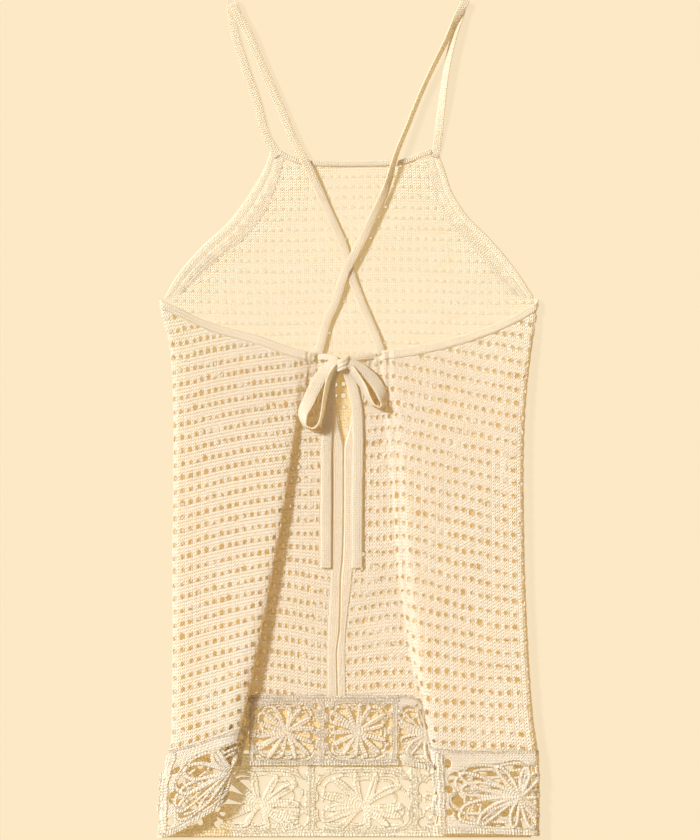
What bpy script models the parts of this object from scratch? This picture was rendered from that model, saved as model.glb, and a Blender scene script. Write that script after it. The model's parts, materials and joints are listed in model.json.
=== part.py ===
"""Crochet mini dress laid flat with its back up: open net body, halter front,
crossed straps tied in a bow over a centre-back slit, and a hem of flower squares.
X runs across the dress, Y up to the straps, Z up from the surface it lies on."""

import math

import bpy
import numpy as np
from mathutils import Vector
from mathutils.geometry import delaunay_2d_cdt

MM = 0.001
GAP = 0.3              # between pieces at seams
NET_WALL = 2.0         # thickness of the crochet net
BAND_WALL = 2.4        # dense knit bands
LACE_WALL = 2.2        # flower squares
CASING_WALL = 2.6      # back neckline casing
TAPE_THICK = 2.0       # straps and ties
STRAP_WIDE = 8.6
TIE_WIDE = 10.6
BINDING_WIDE = 5.0
CASING_WIDE = 8.6
SEAM_Z = 1.1           # middle of the back's wall where it is rolled under to the side seam
LOW_Z = 3.8            # middle of the back's wall where it rests on the front

# Half sections of the back, a row per height. q is measured outwards from the centre line.
# y: height, edge: side fold, roll: radius of the side fold, mid: height over the lobe,
# ridge: height at the inner fold, fold: its q, over: how far it returns under itself,
# slit: q where the net meets the placket.
LEFT = [
    # y, edge, roll, mid, ridge, fold, over, slit
    (130, 188, 2.4, 4.6, 4.6, 45, -8, 24.5),
    (111, 188, 2.6, 5.2, 5.0, 45, -8, 24.5),
    (74, 179, 3.8, 8.0, 7.0, 45, -7, 24.5),
    (34, 176, 4.8, 10.5, 9.5, 49, -5, 24.2),
    (-6, 175, 5.2, 11.5, 11.5, 53, -2, 20.0),
    (-51, 175, 5.4, 12.0, 13.5, 59, 2, 15.6),
    (-141, 176, 5.5, 12.5, 15.5, 74, 5, 17.0),
    (-231, 176, 5.5, 12.5, 17.0, 91, 8, 21.0),
    (-316, 177, 5.5, 13.5, 18.0, 109, 10, 21.0),
    (-371, 189, 5.5, 14.0, 17.5, 121, 10, 21.0),
    (-419, 190, 5.5, 13.0, 16.0, 131, 10, 21.0),
]
RIGHT = [
    (130, 188, 2.4, 4.6, 4.6, 38, -8, 18.0),
    (112, 188, 2.6, 5.2, 5.0, 38, -8, 18.0),
    (74, 183, 3.8, 7.5, 6.5, 40, -8, 18.0),
    (34, 178, 4.8, 9.5, 8.0, 44, -8, 16.0),
    (-6, 175, 5.0, 10.5, 9.5, 48, -8, 11.0),
    (-51, 174, 5.2, 11.0, 10.5, 52, -8, 5.4),
    (-141, 175, 5.2, 11.5, 12.0, 58, -7, 4.0),
    (-231, 179, 5.2, 11.5, 13.5, 67, -4, -4.0),
    (-301, 184, 5.4, 12.0, 15.5, 77, 2, -3.0),
    (-341, 189, 5.5, 12.5, 16.0, 83, 7, -3.0),
    (-419, 189, 5.5, 12.5, 15.0, 86, 8, -3.0),
]

# Heights of the back's edges at each feature of a half section, from seam to slit.
# feature, neckline, top of the hem squares, hem
LEFT_EDGES = [
    (0, 111, -333, -419),
    (2, 111, -333, -419),
    (4, 109, -331, -418),
    (5, 87, -326, -407),
    (6, 74, -319, -393),
    (7, 62, -315, -383),
    (9, 60, -312, -378),
    (10, 59, -303, -369),
    (12, 58.5, -291, -357),
    (13, 58, -283, -351),
    (14, 58, -279, -347),
    (15, 57.5, -278, -346),
    (16, 57, -278, -346),
]
RIGHT_EDGES = [
    (0, 112, -333, -417),
    (2, 112, -333, -417),
    (4, 107, -333, -416),
    (5, 82, -333, -415),
    (6, 68.5, -333, -414),
    (7, 62, -331, -414),
    (9, 61, -328, -412),
    (10, 60, -315, -398),
    (12, 59, -300, -380),
    (13, 58.5, -287, -364),
    (14, 58, -280, -350),
    (15, 57.5, -278, -346),
    (16, 57, -278, -346),
]
LACE_SPLIT_LEFT, LACE_SPLIT_RIGHT = 14.0, 14.55   # features where the hem band is joined

# Armhole bands of the front: outer edge and inner edge, from strap to underarm.
# outer x, outer y, inner x, inner y
ARMHOLE_LEFT = [
    (-78.5, 268.2, -65.0, 259.8),
    (-86, 249, -71, 236),
    (-97, 230, -79.3, 215),
    (-109, 212, -90, 197),
    (-123, 195, -102.3, 182),
    (-148, 172, -125.3, 164),
    (-174, 141, -148.3, 144),
    (-185.5, 120.5, -166.3, 126),
]
ARMHOLE_RIGHT = [
    (89.3, 266.5, 75.5, 259.0),
    (96, 249, 81, 238),
    (102, 230, 86, 219),
    (120, 202, 105, 191),
    (140, 182, 125, 170),
    (166, 151, 150, 140),
    (186, 121, 168, 122),
]
NECK = [
    # x, y of the binding along the front neck
    (-69.5, 266.5),
    (-61, 262.0),
    (-49, 257.5),
    (-37, 255.7),
    (1, 255.2),
    (49, 256.5),
    (63, 260.5),
    (75, 265.5),
    (82.5, 267.3),
]

# Inner edges of the two placket bands: the slit stays open above, then they meet.
# y, left band, right band
PLACKET = [
    (57, -14.0, 8.0),
    (34, -13.8, 6.0),
    (-6, -10.0, 1.0),
    (-31, -5.2, -4.8),
    (-87, -5.2, -4.8),
    (-136, -6.2, -5.8),
    (-160, -8.2, -7.8),
    (-208, -9.2, -8.8),
    (-236, -12.2, -11.8),
    (-277, -11.2, -10.8),
]

# Straps: centre of the tape, direction of its width in plan, and how far it is rolled on edge.
# x, y, z, plan angle, roll
STRAP_LEFT = [
    (-76, 271.5, 1.3, -30, 0),
    (-82, 281, 1.3, -20, 0),
    (-92, 317, 1.3, -17, 0),
    (-105, 355, 1.3, -15, 0),
    (-116, 394, 1.4, -10, 0),
    (-118, 413, 1.9, -5, 0),
    (-117, 417.6, 3.6, 0, 0),
    (-115, 414, 5.6, 10, 0),
    (-113, 408, 5.8, 18, 0),
    (-102, 388, 5.4, 24, 0),
    (-87, 353, 4.6, 24, 0),
    (-71, 317, 4.4, 23, 0),
    (-54, 276, 5.0, 25, 0),
    (-43, 256, 5.2, 24, 0),
    (-20, 205, 3.6, 23, 0),
    (-5, 171, 3.6, 19, 0),
    (3, 141, 3.6, 20, 0),
    (11, 119, 3.6, 22, 0),
    (20, 98, 3.7, 22, 0),
    (28, 78, 4.6, 22, 0),
    (31.5, 69.5, 5.0, 22, 0),
]
STRAP_RIGHT = [
    (87.5, 270, 1.3, 10, 0),
    (91, 300, 2.6, 8, 20),
    (97, 346, 4.2, 10, 46),
    (105, 383, 4.2, 14, 44),
    (111, 403, 3.4, 14, 24),
    (113.5, 412, 2.6, 8, 6),
    (116, 417.4, 4.4, 0, 0),
    (113.5, 412, 6.4, -12, 12),
    (108, 401, 7.4, -20, 30),
    (97, 378, 6.6, -23, 58),
    (76, 335, 6.6, -23, 62),
    (59, 294, 7.4, -23, 62),
    (46, 261, 8.6, -22, 58),
    (38, 233, 7.0, -20, 35),
    (18, 189, 6.2, -25, 10),
    (5, 164, 6.3, -26, 0),
    (-5, 144, 6.0, -22, 0),
    (-13, 119, 4.6, -20, 0),
    (-23, 95, 4.0, -22, 0),
    (-28, 76, 4.6, -16, 0),
    (-30, 69.5, 5.0, -14, 0),
]
# Short ties from the casings to the knot, and the bow.
# x, y, z, roll
LEAD_LEFT = [
    (-28.5, 65.5, 7.2, 0),
    (-23, 65.0, 7.4, 6),
    (-14.6, 61.6, 8.8, 10),
]
LEAD_RIGHT = [
    (28.5, 65.0, 7.2, 0),
    (18, 65.0, 7.4, 0),
    (3.8, 61.4, 8.8, -8),
]
LOOP_LEFT = [
    (-16.0, 54.0, 12.2, -14),
    (-25, 46, 11.6, -8),
    (-33.5, 33, 10.9, -5),
    (-40.5, 18, 11.2, -14),
    (-46.0, 4, 12.9, -45),
    (-44.0, -6.5, 13.6, -78),
    (-36.5, -9.6, 13.6, -88),
    (-29.5, -4, 13.4, -78),
    (-26.0, 9, 12.6, -56),
    (-23.5, 24, 12.2, -48),
    (-20.5, 37, 12.4, -48),
    (-16.6, 46.0, 12.4, -44),
]
LOOP_RIGHT = [
    (3.4, 54.4, 12.2, 14),
    (15, 47.0, 11.6, 12),
    (26.5, 36, 11.0, 14),
    (32.5, 25, 11.2, 30),
    (34.0, 16.5, 12.2, 62),
    (30.5, 11.2, 12.9, 84),
    (25.0, 13.4, 12.9, 80),
    (19.5, 21.5, 12.3, 60),
    (14.5, 32, 12.2, 50),
    (7.6, 43.4, 12.4, 44),
]
TAIL_LEFT = [
    (-18.0, 42.5, 6.8, 0),
    (-20.0, 20, 6.4, 0),
    (-21.5, -5, 6.3, 0),
    (-22.8, -40, 6.3, 0),
    (-22.8, -90, 6.3, 0),
    (-23.0, -149, 6.3, 0),
]
TAIL_RIGHT = [
    (1.0, 43.0, 7.2, 0),
    (4.5, 27, 6.6, 0),
    (8.0, 8, 6.3, 0),
    (9.0, -20, 6.3, 0),
    (8.2, -80, 6.3, 0),
    (8.0, -149, 6.3, 0),
]
# Flower squares, in the frame of the piece that carries them.
# centre across, centre up, reach left, reach right, reach up, reach down
FRONT_FLOWERS = [
    (-192, -387, 46, 46, 26, 22),
    (-89, -387, 46, 46, 27, 22),
    (14, -388, 46, 46, 27, 21),
    (117, -387, 46, 46, 27, 22),
]
CENTRE_FLOWERS = [
    (-63, -313, 31, 31, 28, 28),
    (9, -312, 31, 31, 28, 28),
]
# along the hem from the side seam, share of the hem's depth, reach either way, reach up and down
LEFT_FLOWERS = [(77, 42, 56, 40, 33, 33)]
RIGHT_FLOWERS = [(30, 43, 22, 66, 33, 33), (131, 40, 26, 32, 32, 32)]
PETAL_GAPS = 12


def curve(rows, at):
    """Smooth reading of a table at a value of its first column, without overshoot."""
    table = np.asarray(rows, float)
    x, v = table[:, 0], table[:, 1:]
    if x[0] > x[-1]:
        x, v = x[::-1], v[::-1]
    h = np.diff(x)
    d = np.diff(v, axis=0) / h[:, None]
    m = np.empty_like(v)
    m[0], m[-1] = d[0], d[-1]
    for i in range(1, len(x) - 1):
        a, b = d[i - 1], d[i]
        same = a * b > 0
        w1, w2 = 2 * h[i] + h[i - 1], h[i] + 2 * h[i - 1]
        safe_a, safe_b = np.where(same, a, 1.0), np.where(same, b, 1.0)
        m[i] = np.where(same, (w1 + w2) / (w1 / safe_a + w2 / safe_b), 0.0)
    i = min(max(int(np.searchsorted(x, at)) - 1, 0), len(h) - 1)
    if at <= x[0]:
        return v[0] + m[0] * (at - x[0])
    if at >= x[-1]:
        return v[-1] + m[-1] * (at - x[-1])
    u = (at - x[i]) / h[i]
    return (
        v[i] * (1 + 2 * u) * (1 - u) ** 2
        + m[i] * h[i] * u * (1 - u) ** 2
        + v[i + 1] * u * u * (3 - 2 * u)
        + m[i + 1] * h[i] * u * u * (u - 1)
    )


def features(table, y):
    """Corner points (q, z) of a half section at height y, from the side seam to the slit."""
    edge, roll, mid, ridge, fold, over, slit = curve(table, y)
    rise = ridge - LOW_Z
    turn = min(1.9, 0.2 * rise + 0.2)
    deep = min(max((over + 3) / 5, 0.0), 1.0)
    valley = fold + over
    third = valley - 1 - 2.5 * (1 - deep)
    low = min(fold - 8, third - 4)
    top = SEAM_Z + 2 * roll
    shoulder = edge - roll
    inner = fold + 9
    return [
        (shoulder, SEAM_Z),
        (edge - 0.29 * roll, SEAM_Z + 0.29 * roll),
        (edge, SEAM_Z + roll),
        (edge - 0.29 * roll, SEAM_Z + 1.71 * roll),
        (shoulder, top),
        (shoulder + 0.36 * (inner - shoulder), mid),
        (shoulder + 0.72 * (inner - shoulder), 0.5 * (mid + ridge)),
        (inner, ridge),
        (fold + 3, ridge - 0.07 * rise),
        (fold, ridge - 0.27 * rise),
        (fold + 0.6 * over, LOW_Z + 0.46 * rise),
        (valley - 1 + 1.5 * (1 - deep), LOW_Z + 2 * turn),
        (valley + turn * deep - 1.0 * (1 - deep), LOW_Z + turn),
        (third, LOW_Z),
        (low, LOW_Z),
        (0.5 * (low + slit), LOW_Z),
        (slit, LOW_Z),
    ]


def chords(points):
    """Running length along a section's corner points."""
    steps = [math.dist(a, b) for a, b in zip(points, points[1:])]
    return np.concatenate([[0.0], np.cumsum(steps)])


class Half:
    """One half of the back: a sheet over (feature, distance below the neckline)."""

    def __init__(self, side, table, edges):
        self.side, self.table = side, table
        at_top = chords(features(table, 60))
        at_hem = chords(features(table, -330))
        self.edges = [
            (f, np.interp(f, range(17), at_top), np.interp(f, range(17), at_hem), *ys)
            for f, *ys in edges
        ]
        self.top = [(e[1], e[3]) for e in self.edges]
        self.lace = [(e[2], e[4]) for e in self.edges]
        self.hem = [(e[2], e[5]) for e in self.edges]
        self.at_top, self.at_hem = at_top, at_hem
        self.run = at_hem

    def heights(self, f):
        """Neckline, top of the hem squares and hem at feature f."""
        top = float(curve(self.top, np.interp(f, range(17), self.at_top))[0])
        lace = float(curve(self.lace, np.interp(f, range(17), self.at_hem))[0])
        hem = float(curve(self.hem, np.interp(f, range(17), self.at_hem))[0])
        return top, lace, hem

    def slack(self, f):
        """Half the room left at the seam of the hem squares, more where it runs steeply."""
        lo, hi = max(f - 0.3, 0), min(f + 0.3, 16)
        climb = self.heights(hi)[1] - self.heights(lo)[1]
        run = np.interp([lo, hi], range(17), self.run)
        steep = abs(climb) / (run[1] - run[0])
        return 0.8 * GAP * math.hypot(1, steep) + 0.9 * steep

    def feature(self, along):
        """Feature number at a distance along the hem from the side seam."""
        return float(np.interp(along, self.run, range(17)))

    def at(self, f, y):
        """Middle of the wall at feature f and height y."""
        points = features(self.table, y)
        run = chords(points)
        place = np.interp(f, range(17), run)
        q, z = curve([(r, *p) for r, p in zip(run, points)], place)
        return np.array([self.side * q, y, z])

    def gather(self, f, y, top):
        """Small pleats fanning down from the drawn-up neckline, added to the height."""
        near = max(0.0, 1 - (top - y) / 46) if y < top else 1.0
        inner = min(max((f - 7) / 3, 0.0), 1.0)
        place = self.at(f, y)[0]
        return 0.7 * near * inner * (1 + math.cos(place * 2 * math.pi / 9.0))

    def point(self, f, y):
        top = self.heights(f)[0]
        p = self.at(f, y)
        p[2] += self.gather(f, y, top)
        return p

    def normal(self, f, y):
        """Outward unit normal of the wall."""
        lo, hi = max(f - 0.15, 0), min(f + 0.15, 16)
        across = self.at(hi, y) - self.at(lo, y)
        down = self.at(f, y - 2) - self.at(f, y + 2)
        n = np.cross(across, down) * -self.side
        n /= np.linalg.norm(n)
        under = max(0.0, 1 - f)
        n = n * (1 - under) + np.array([0.0, 0.0, -1.0]) * under
        return n / np.linalg.norm(n)


def material(name, colour, roughness):
    mat = bpy.data.materials.new(name)
    mat.use_nodes = True
    shader = mat.node_tree.nodes["Principled BSDF"]
    shader.inputs["Base Color"].default_value = (*colour, 1.0)
    shader.inputs["Roughness"].default_value = roughness
    return mat


def solid(name, points, faces, mat):
    """A named mesh object in metres, turned so that its normals face out."""
    mesh = bpy.data.meshes.new(name)
    mesh.from_pydata([tuple(c * MM for c in p) for p in points], [], faces)
    mesh.update()
    volume = sum(
        Vector(mesh.vertices[t[0]].co).dot(
            Vector(mesh.vertices[t[1]].co).cross(Vector(mesh.vertices[t[2]].co))
        )
        for f in mesh.polygons
        for t in [(f.vertices[0], f.vertices[i], f.vertices[i + 1]) for i in range(1, len(f.vertices) - 1)]
    )
    if volume < 0:
        mesh.flip_normals()
    mesh.materials.append(mat)
    made = bpy.data.objects.new(name, mesh)
    bpy.context.scene.collection.objects.link(made)
    return made


def inside(x, y, ring):
    """Whether a plan point lies within a closed outline."""
    hit = False
    for (x0, y0), (x1, y1) in zip(ring, ring[1:] + ring[:1]):
        if (y0 > y) != (y1 > y) and x < (x1 - x0) * (y - y0) / (y1 - y0) + x0:
            hit = not hit
    return hit


def clear(x, y, ring, room):
    """Whether a plan point keeps a distance from every side of an outline."""
    for (x0, y0), (x1, y1) in zip(ring, ring[1:] + ring[:1]):
        dx, dy = x1 - x0, y1 - y0
        u = ((x - x0) * dx + (y - y0) * dy) / max(dx * dx + dy * dy, 1e-9)
        u = min(max(u, 0.0), 1.0)
        if math.hypot(x - x0 - u * dx, y - y0 - u * dy) < room:
            return False
    return True


def wall(name, outline, holes, inner, place, thick, mat):
    """A wall over a plan outline with holes, each plan point placed and given a normal."""
    verts, edges = [], []
    for ring in [outline, *holes]:
        first = len(verts)
        verts += [Vector(p) for p in ring]
        edges += [(first + i, first + (i + 1) % len(ring)) for i in range(len(ring))]
    for p in inner:
        if inside(*p, outline) and clear(*p, outline, 1.5):
            if not any(inside(*p, h) for h in holes) and all(clear(*p, h, 1.5) for h in holes):
                verts.append(Vector(p))
    flat, _, tris, *_ = delaunay_2d_cdt(verts, edges, [], 0, 1e-6)
    kept = []
    for t in tris:
        x = sum(flat[i][0] for i in t) / 3
        y = sum(flat[i][1] for i in t) / 3
        if inside(x, y, outline) and not any(inside(x, y, h) for h in holes):
            kept.append(tuple(t))
    used = sorted({i for t in kept for i in t})
    index = {v: n for n, v in enumerate(used)}
    upper, lower = [], []
    for i in used:
        p, n = place(flat[i][0], flat[i][1])
        upper.append(p + n * thick / 2)
        lower.append(p - n * thick / 2)
    count = len(used)
    faces = [tuple(index[i] for i in t) for t in kept]
    sides = {}
    for a, b, c in faces:
        for e in ((a, b), (b, c), (c, a)):
            sides[e] = True
    rim = [e for e in sides if (e[1], e[0]) not in sides]
    faces += [(c + count, b + count, a + count) for a, b, c in faces]
    for a, b in rim:
        faces += [(b, a, a + count), (b, a + count, b + count)]
    return solid(name, upper + lower, faces, mat)


def level(z):
    """Placing rule for a wall that lies flat."""
    up = np.array([0.0, 0.0, 1.0])
    return lambda x, y: (np.array([x, y, z]), up)


def grid_wall(name, half, fs, ts, low, high, thick, mat):
    """A wall over a half of the back between two edges, as a regular grid."""
    rows = []
    for t in ts:
        row = []
        for f in fs:
            y = low(f) * t + high(f) * (1 - t)
            row.append((half.point(f, y), half.normal(f, y)))
        rows.append(row)
    n, m = len(ts), len(fs)
    upper = [p + k * thick / 2 for row in rows for p, k in row]
    lower = [p - k * thick / 2 for row in rows for p, k in row]
    count = n * m
    faces = []
    for j in range(n - 1):
        for i in range(m - 1):
            a, b = j * m + i, j * m + i + 1
            c, d = a + m, b + m
            faces += [(a, b, d), (a, d, c)]
            faces += [(a + count, d + count, b + count), (a + count, c + count, d + count)]
    ring = [i for i in range(m)]
    ring += [j * m + m - 1 for j in range(1, n)]
    ring += [(n - 1) * m + i for i in range(m - 2, -1, -1)]
    ring += [j * m for j in range(n - 2, 0, -1)]
    for a, b in zip(ring, ring[1:] + ring[:1]):
        faces += [(b, a, a + count), (b, a + count, b + count)]
    return solid(name, upper + lower, faces, mat)


def tape(name, rows, wide, thick, mat, steps=3, plan=False, round_edge=0.8):
    """A flat tape swept along a table of centres, its width turned as each row says."""
    keys = np.asarray(rows, float)
    run = np.concatenate([[0.0], np.cumsum(np.linalg.norm(np.diff(keys[:, :3], axis=0), axis=1))])
    table = np.column_stack([run, keys])
    places = []
    for i in range(len(run) - 1):
        places += list(np.linspace(run[i], run[i + 1], steps + 1)[:-1])
    places.append(run[-1])
    centres = np.array([curve(table, s) for s in places])
    along = np.gradient(centres[:, :3], axis=0)
    points, faces = [], []
    shape = [
        (-wide / 2, 0.0),
        (-wide / 2 + round_edge, thick / 2),
        (wide / 2 - round_edge, thick / 2),
        (wide / 2, 0.0),
        (wide / 2 - round_edge, -thick / 2),
        (-wide / 2 + round_edge, -thick / 2),
    ]
    for c, t in zip(centres, along):
        t = t / np.linalg.norm(t)
        if plan:
            a, roll = math.radians(c[3]), math.radians(c[4])
            across = np.array([math.cos(a), math.sin(a), 0.0])
        else:
            roll = math.radians(c[3])
            across = np.array([t[1], -t[0], 0.0])
        across -= t * across.dot(t)
        across /= np.linalg.norm(across)
        up = np.cross(across, t)
        turned = across * math.cos(roll) + up * math.sin(roll)
        face = np.cross(turned, t)
        points += [c[:3] + turned * u + face * v for u, v in shape]
    k = len(shape)
    for j in range(len(centres) - 1):
        for i in range(k):
            a, b = j * k + i, j * k + (i + 1) % k
            faces += [(a, b, b + k), (a, b + k, a + k)]
    faces.append(tuple(range(k - 1, -1, -1)))
    faces.append(tuple(range(len(points) - k, len(points))))
    return solid(name, points, faces, mat)


def blob(name, centre, radii, tilt, mat, rings=8, around=16):
    """The knot: a rounded wrap of tape with two shallow grooves."""
    points = [(centre[0], centre[1] + radii[1], centre[2])]
    for j in range(1, rings):
        a = math.pi * j / rings
        for i in range(around):
            b = 2 * math.pi * i / around
            fat = 1 - 0.08 * (1 + math.cos(3 * b))
            x = radii[0] * math.sin(a) ** 0.7 * math.cos(b) * fat
            z = radii[2] * math.sin(a) ** 0.7 * math.sin(b) * fat
            y = radii[1] * math.cos(a)
            points.append((centre[0] + x + tilt * y, centre[1] + y, centre[2] + z))
    points.append((centre[0], centre[1] - radii[1], centre[2]))
    faces = []
    for i in range(around):
        faces.append((0, 1 + i, 1 + (i + 1) % around))
        end = len(points) - 1
        base = 1 + (rings - 2) * around
        faces.append((end, base + (i + 1) % around, base + i))
    for j in range(rings - 2):
        for i in range(around):
            a = 1 + j * around + i
            b = 1 + j * around + (i + 1) % around
            faces += [(a, a + around, b), (b, a + around, b + around)]
    return solid(name, points, faces, mat)


def flower_gaps(x, y, left, right, up, down):
    """Openings of one flower square: a ring between the petals and one in each corner."""
    rings = []
    for k in range(PETAL_GAPS):
        a = 2 * math.pi * (k + 0.5) / PETAL_GAPS
        corner = abs(math.sin(2 * a)) > 0.8
        ca, sa = math.cos(a), math.sin(a)
        wide = right if ca > 0 else left
        tall = up if sa > 0 else down
        square = 1 / max(abs(ca), abs(sa))
        near, far = 0.46, 0.86 * min(square, 1.22)
        spread = 0.13 if corner else 0.10
        ring = []
        for u, w in ((0, 0), (0.3, 0.75), (0.7, 1), (1, 0.55), (1, -0.55), (0.7, -1), (0.3, -0.75)):
            r = near + (far - near) * u
            b = a + spread * w / max(r, 0.4)
            ring.append((x + wide * r * math.cos(b), y + tall * r * math.sin(b)))
        rings.append(ring)
    return rings


def held(rings, low, high):
    """Rings that lie wholly within a span of x."""
    return [r for r in rings if min(p[0] for p in r) > low + 2 and max(p[0] for p in r) < high - 2]


def seam_x(half, y, out=3 * GAP):
    """Where the front's edge lies against the rolled-under back."""
    edge, roll, *_ = curve(half.table, y)
    return half.side * (edge - roll - out)


for old in list(bpy.data.objects):
    bpy.data.objects.remove(old, do_unlink=True)

CREAM = (0.86, 0.78, 0.62)
net = material("crochet_net", CREAM, 0.9)
knit = material("knit_band", (0.84, 0.77, 0.62), 0.9)
ribbon = material("knit_tape", (0.83, 0.76, 0.61), 0.9)
lace = material("flower_lace", (0.85, 0.77, 0.61), 0.9)

left_half = Half(-1, LEFT, LEFT_EDGES)
right_half = Half(1, RIGHT, RIGHT_EDGES)

# Front panel, flat on the surface, with its armhole bands and neck binding.
outer_left = [r[:2] for r in ARMHOLE_LEFT]
inner_left = [r[2:] for r in ARMHOLE_LEFT]
outer_right = [r[:2] for r in ARMHOLE_RIGHT]
inner_right = [r[2:] for r in ARMHOLE_RIGHT]
side_rows = [117, *range(112, 30, -5), 14, -6, -51, -96, -141, -186, -231, *range(-250, -336, -9), -336]
seam_left = [(seam_x(left_half, y), y) for y in side_rows]
seam_right = [(seam_x(right_half, y), y) for y in side_rows]
under_neck = [
    (x, y - BINDING_WIDE / 2 - 1.0) for x, y in NECK[1:-1]
]
front = [(x + 0.35, y - 0.2) for x, y in inner_left[1:]]
front = [(-64.4, 259.0)] + front + [(-184.2, 118.2)] + seam_left
front += seam_right[::-1] + [(184.6, 118.0)]
front += [(x - 0.35, y - 0.2) for x, y in inner_right[:0:-1]]
front += [(74.8, 258.4)]
front += [(x, y) for x, y in under_neck[::-1] if -62 < x < 62]
wall("front_panel", front, [], [], level(NET_WALL / 2), NET_WALL, net)
wall("front_armhole_band_left", outer_left + inner_left[::-1], [], [], level(BAND_WALL / 2),
     BAND_WALL, knit)
wall("front_armhole_band_right", outer_right + inner_right[::-1], [], [], level(BAND_WALL / 2),
     BAND_WALL, knit)
tape("front_neck_binding", [(x, y, 1.4, 0) for x, y in NECK], BINDING_WIDE, 2.8, knit, 3,
     round_edge=1.2)

# Front hem of flower squares.
hem_rows = [-336.6, *range(-342, -417, -6), -417]
band = [(seam_x(left_half, y), y) for y in hem_rows]
band += [(seam_x(right_half, y), y) for y in hem_rows[::-1]]
gaps = [g for f in FRONT_FLOWERS for g in flower_gaps(*f)]
gaps = held(gaps, band[0][0] - 2, band[-1][0] + 2)
wall("front_hem_squares", band, gaps, [], level(LACE_WALL / 2), LACE_WALL, lace)

# Back net, two halves, each from the side seam over the lobe and its fold to the placket.
columns = [0, 0.5, 1, 1.5, 2, 2.5, 3, 3.5, 4, 4.3, 4.6, 5, 5.4, 6, 6.5, 7, 7.5, 8]
columns += [8.5, 9, 9.5, 10, 10.5, 11, 11.5, 12, 12.5, 13, 14, 14.35, 14.7, 15, 15.5, 16]
steps = list(np.linspace(0, 0.16, 6)) + list(np.linspace(0.16, 1, 23))[1:]
for name, half in (("back_net_left", left_half), ("back_net_right", right_half)):
    grid_wall(
        name, half, columns, steps,
        lambda f, h=half: h.heights(f)[1] + h.slack(f),
        lambda f, h=half: h.heights(f)[0],
        NET_WALL, net,
    )

# Drawstring casings along the back neckline.
for name, half, last in (("back_casing_left", left_half, 13.2), ("back_casing_right", right_half, 11.0)):
    fs = [f for f in columns if 1 <= f < last] + [last]
    grid_wall(
        name, half, fs, [0, 0.5, 1],
        lambda f, h=half: h.heights(f)[0] + 2 * GAP,
        lambda f, h=half: h.heights(f)[0] + CASING_WIDE,
        CASING_WALL, knit,
    )

# Placket bands either side of the centre-back slit.
rows = [57, 46, 34, 20, 7, -6, -18, -31, -51, -69, -87, -110, -136, -160, -184, -196, -208, -214, -220]
rows += [-226, -236, -249, -262, -277.2]
for name, half, column in (("placket_left", left_half, 0), ("placket_right", right_half, 1)):
    net_side = [(half.side * (curve(half.table, y)[6] - 2 * GAP), y) for y in rows]
    slit_side = [(float(curve(PLACKET, y)[column]), y) for y in rows]
    wall(name, net_side + slit_side[::-1], [], [], level(LOW_Z), BAND_WALL, knit)

# Back hem: the part over each lobe and its fold, and the level part between.
for name, half, last, flowers in (
    ("back_hem_squares_left", left_half, LACE_SPLIT_LEFT, LEFT_FLOWERS),
    ("back_hem_squares_right", right_half, LACE_SPLIT_RIGHT, RIGHT_FLOWERS),
):
    reach = float(np.interp(last, range(17), half.run))
    deep = 80.0

    def place(a, b, h=half, d=deep):
        f = h.feature(a)
        _, top, low = h.heights(f)
        y = top - h.slack(f)
        y += (low - y) * b / d
        return h.point(f, y), h.normal(f, y)

    fine = sorted({float(np.interp(f, range(17), half.run)) for f in columns if f < last} | {reach})
    outline = [(a, 0.0) for a in fine] + [(reach, deep * k / 4) for k in (1, 2, 3)]
    outline += [(a, deep) for a in fine[::-1]] + [(0.0, deep * k / 12) for k in range(11, 0, -1)]
    inner = [(a, deep * k / 8) for a in fine for k in range(1, 8)]
    gaps = held([g for f in flowers for g in flower_gaps(*f)], 0, reach)
    wall(name, outline, gaps, inner, place, LACE_WALL, lace)

level_rows = [0, 0.25, 0.5, 0.75, 1]
edge_left, edge_right = [], []
for t in level_rows:
    for half, f, ring, side in (
        (left_half, LACE_SPLIT_LEFT, edge_left, 1), (right_half, LACE_SPLIT_RIGHT, edge_right, -1)
    ):
        _, top, low = half.heights(f)
        y = top - half.slack(f)
        y += (low - y) * t
        ring.append((half.point(f, y)[0] + side * GAP, y))
gaps = [g for f in CENTRE_FLOWERS for g in flower_gaps(*f)]
wall("back_hem_squares_centre", edge_left + edge_right[::-1], gaps, [], level(LOW_Z), LACE_WALL, lace)

# Straps, ties and bow.
tape("strap_left", STRAP_LEFT, STRAP_WIDE, TAPE_THICK, ribbon, 3, plan=True)
tape("strap_right", STRAP_RIGHT, STRAP_WIDE, TAPE_THICK, ribbon, 3, plan=True)
tape("tie_lead_left", LEAD_LEFT, 7.0, TAPE_THICK, ribbon, 4)
tape("tie_lead_right", LEAD_RIGHT, 7.0, TAPE_THICK, ribbon, 4)
blob("bow_knot", (-5.8, 54.5, 11.2), (7.2, 8.8, 5.2), 0.12, ribbon)
tape("bow_loop_left", LOOP_LEFT, TIE_WIDE, TAPE_THICK, ribbon, 3)
tape("bow_loop_right", LOOP_RIGHT, TIE_WIDE, TAPE_THICK, ribbon, 3)
tape("tie_tail_left", TAIL_LEFT, TIE_WIDE, TAPE_THICK, ribbon, 3)
tape("tie_tail_right", TAIL_RIGHT, TIE_WIDE, TAPE_THICK, ribbon, 3)

# The reference point is the middle of the outline, on the surface.
spread = [v.co for o in bpy.data.objects for v in o.data.vertices]
middle_x = (max(p.x for p in spread) + min(p.x for p in spread)) / 2
middle_y = (max(p.y for p in spread) + min(p.y for p in spread)) / 2
for o in bpy.data.objects:
    for v in o.data.vertices:
        v.co.x -= middle_x
        v.co.y -= middle_y
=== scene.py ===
import json
import math

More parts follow.
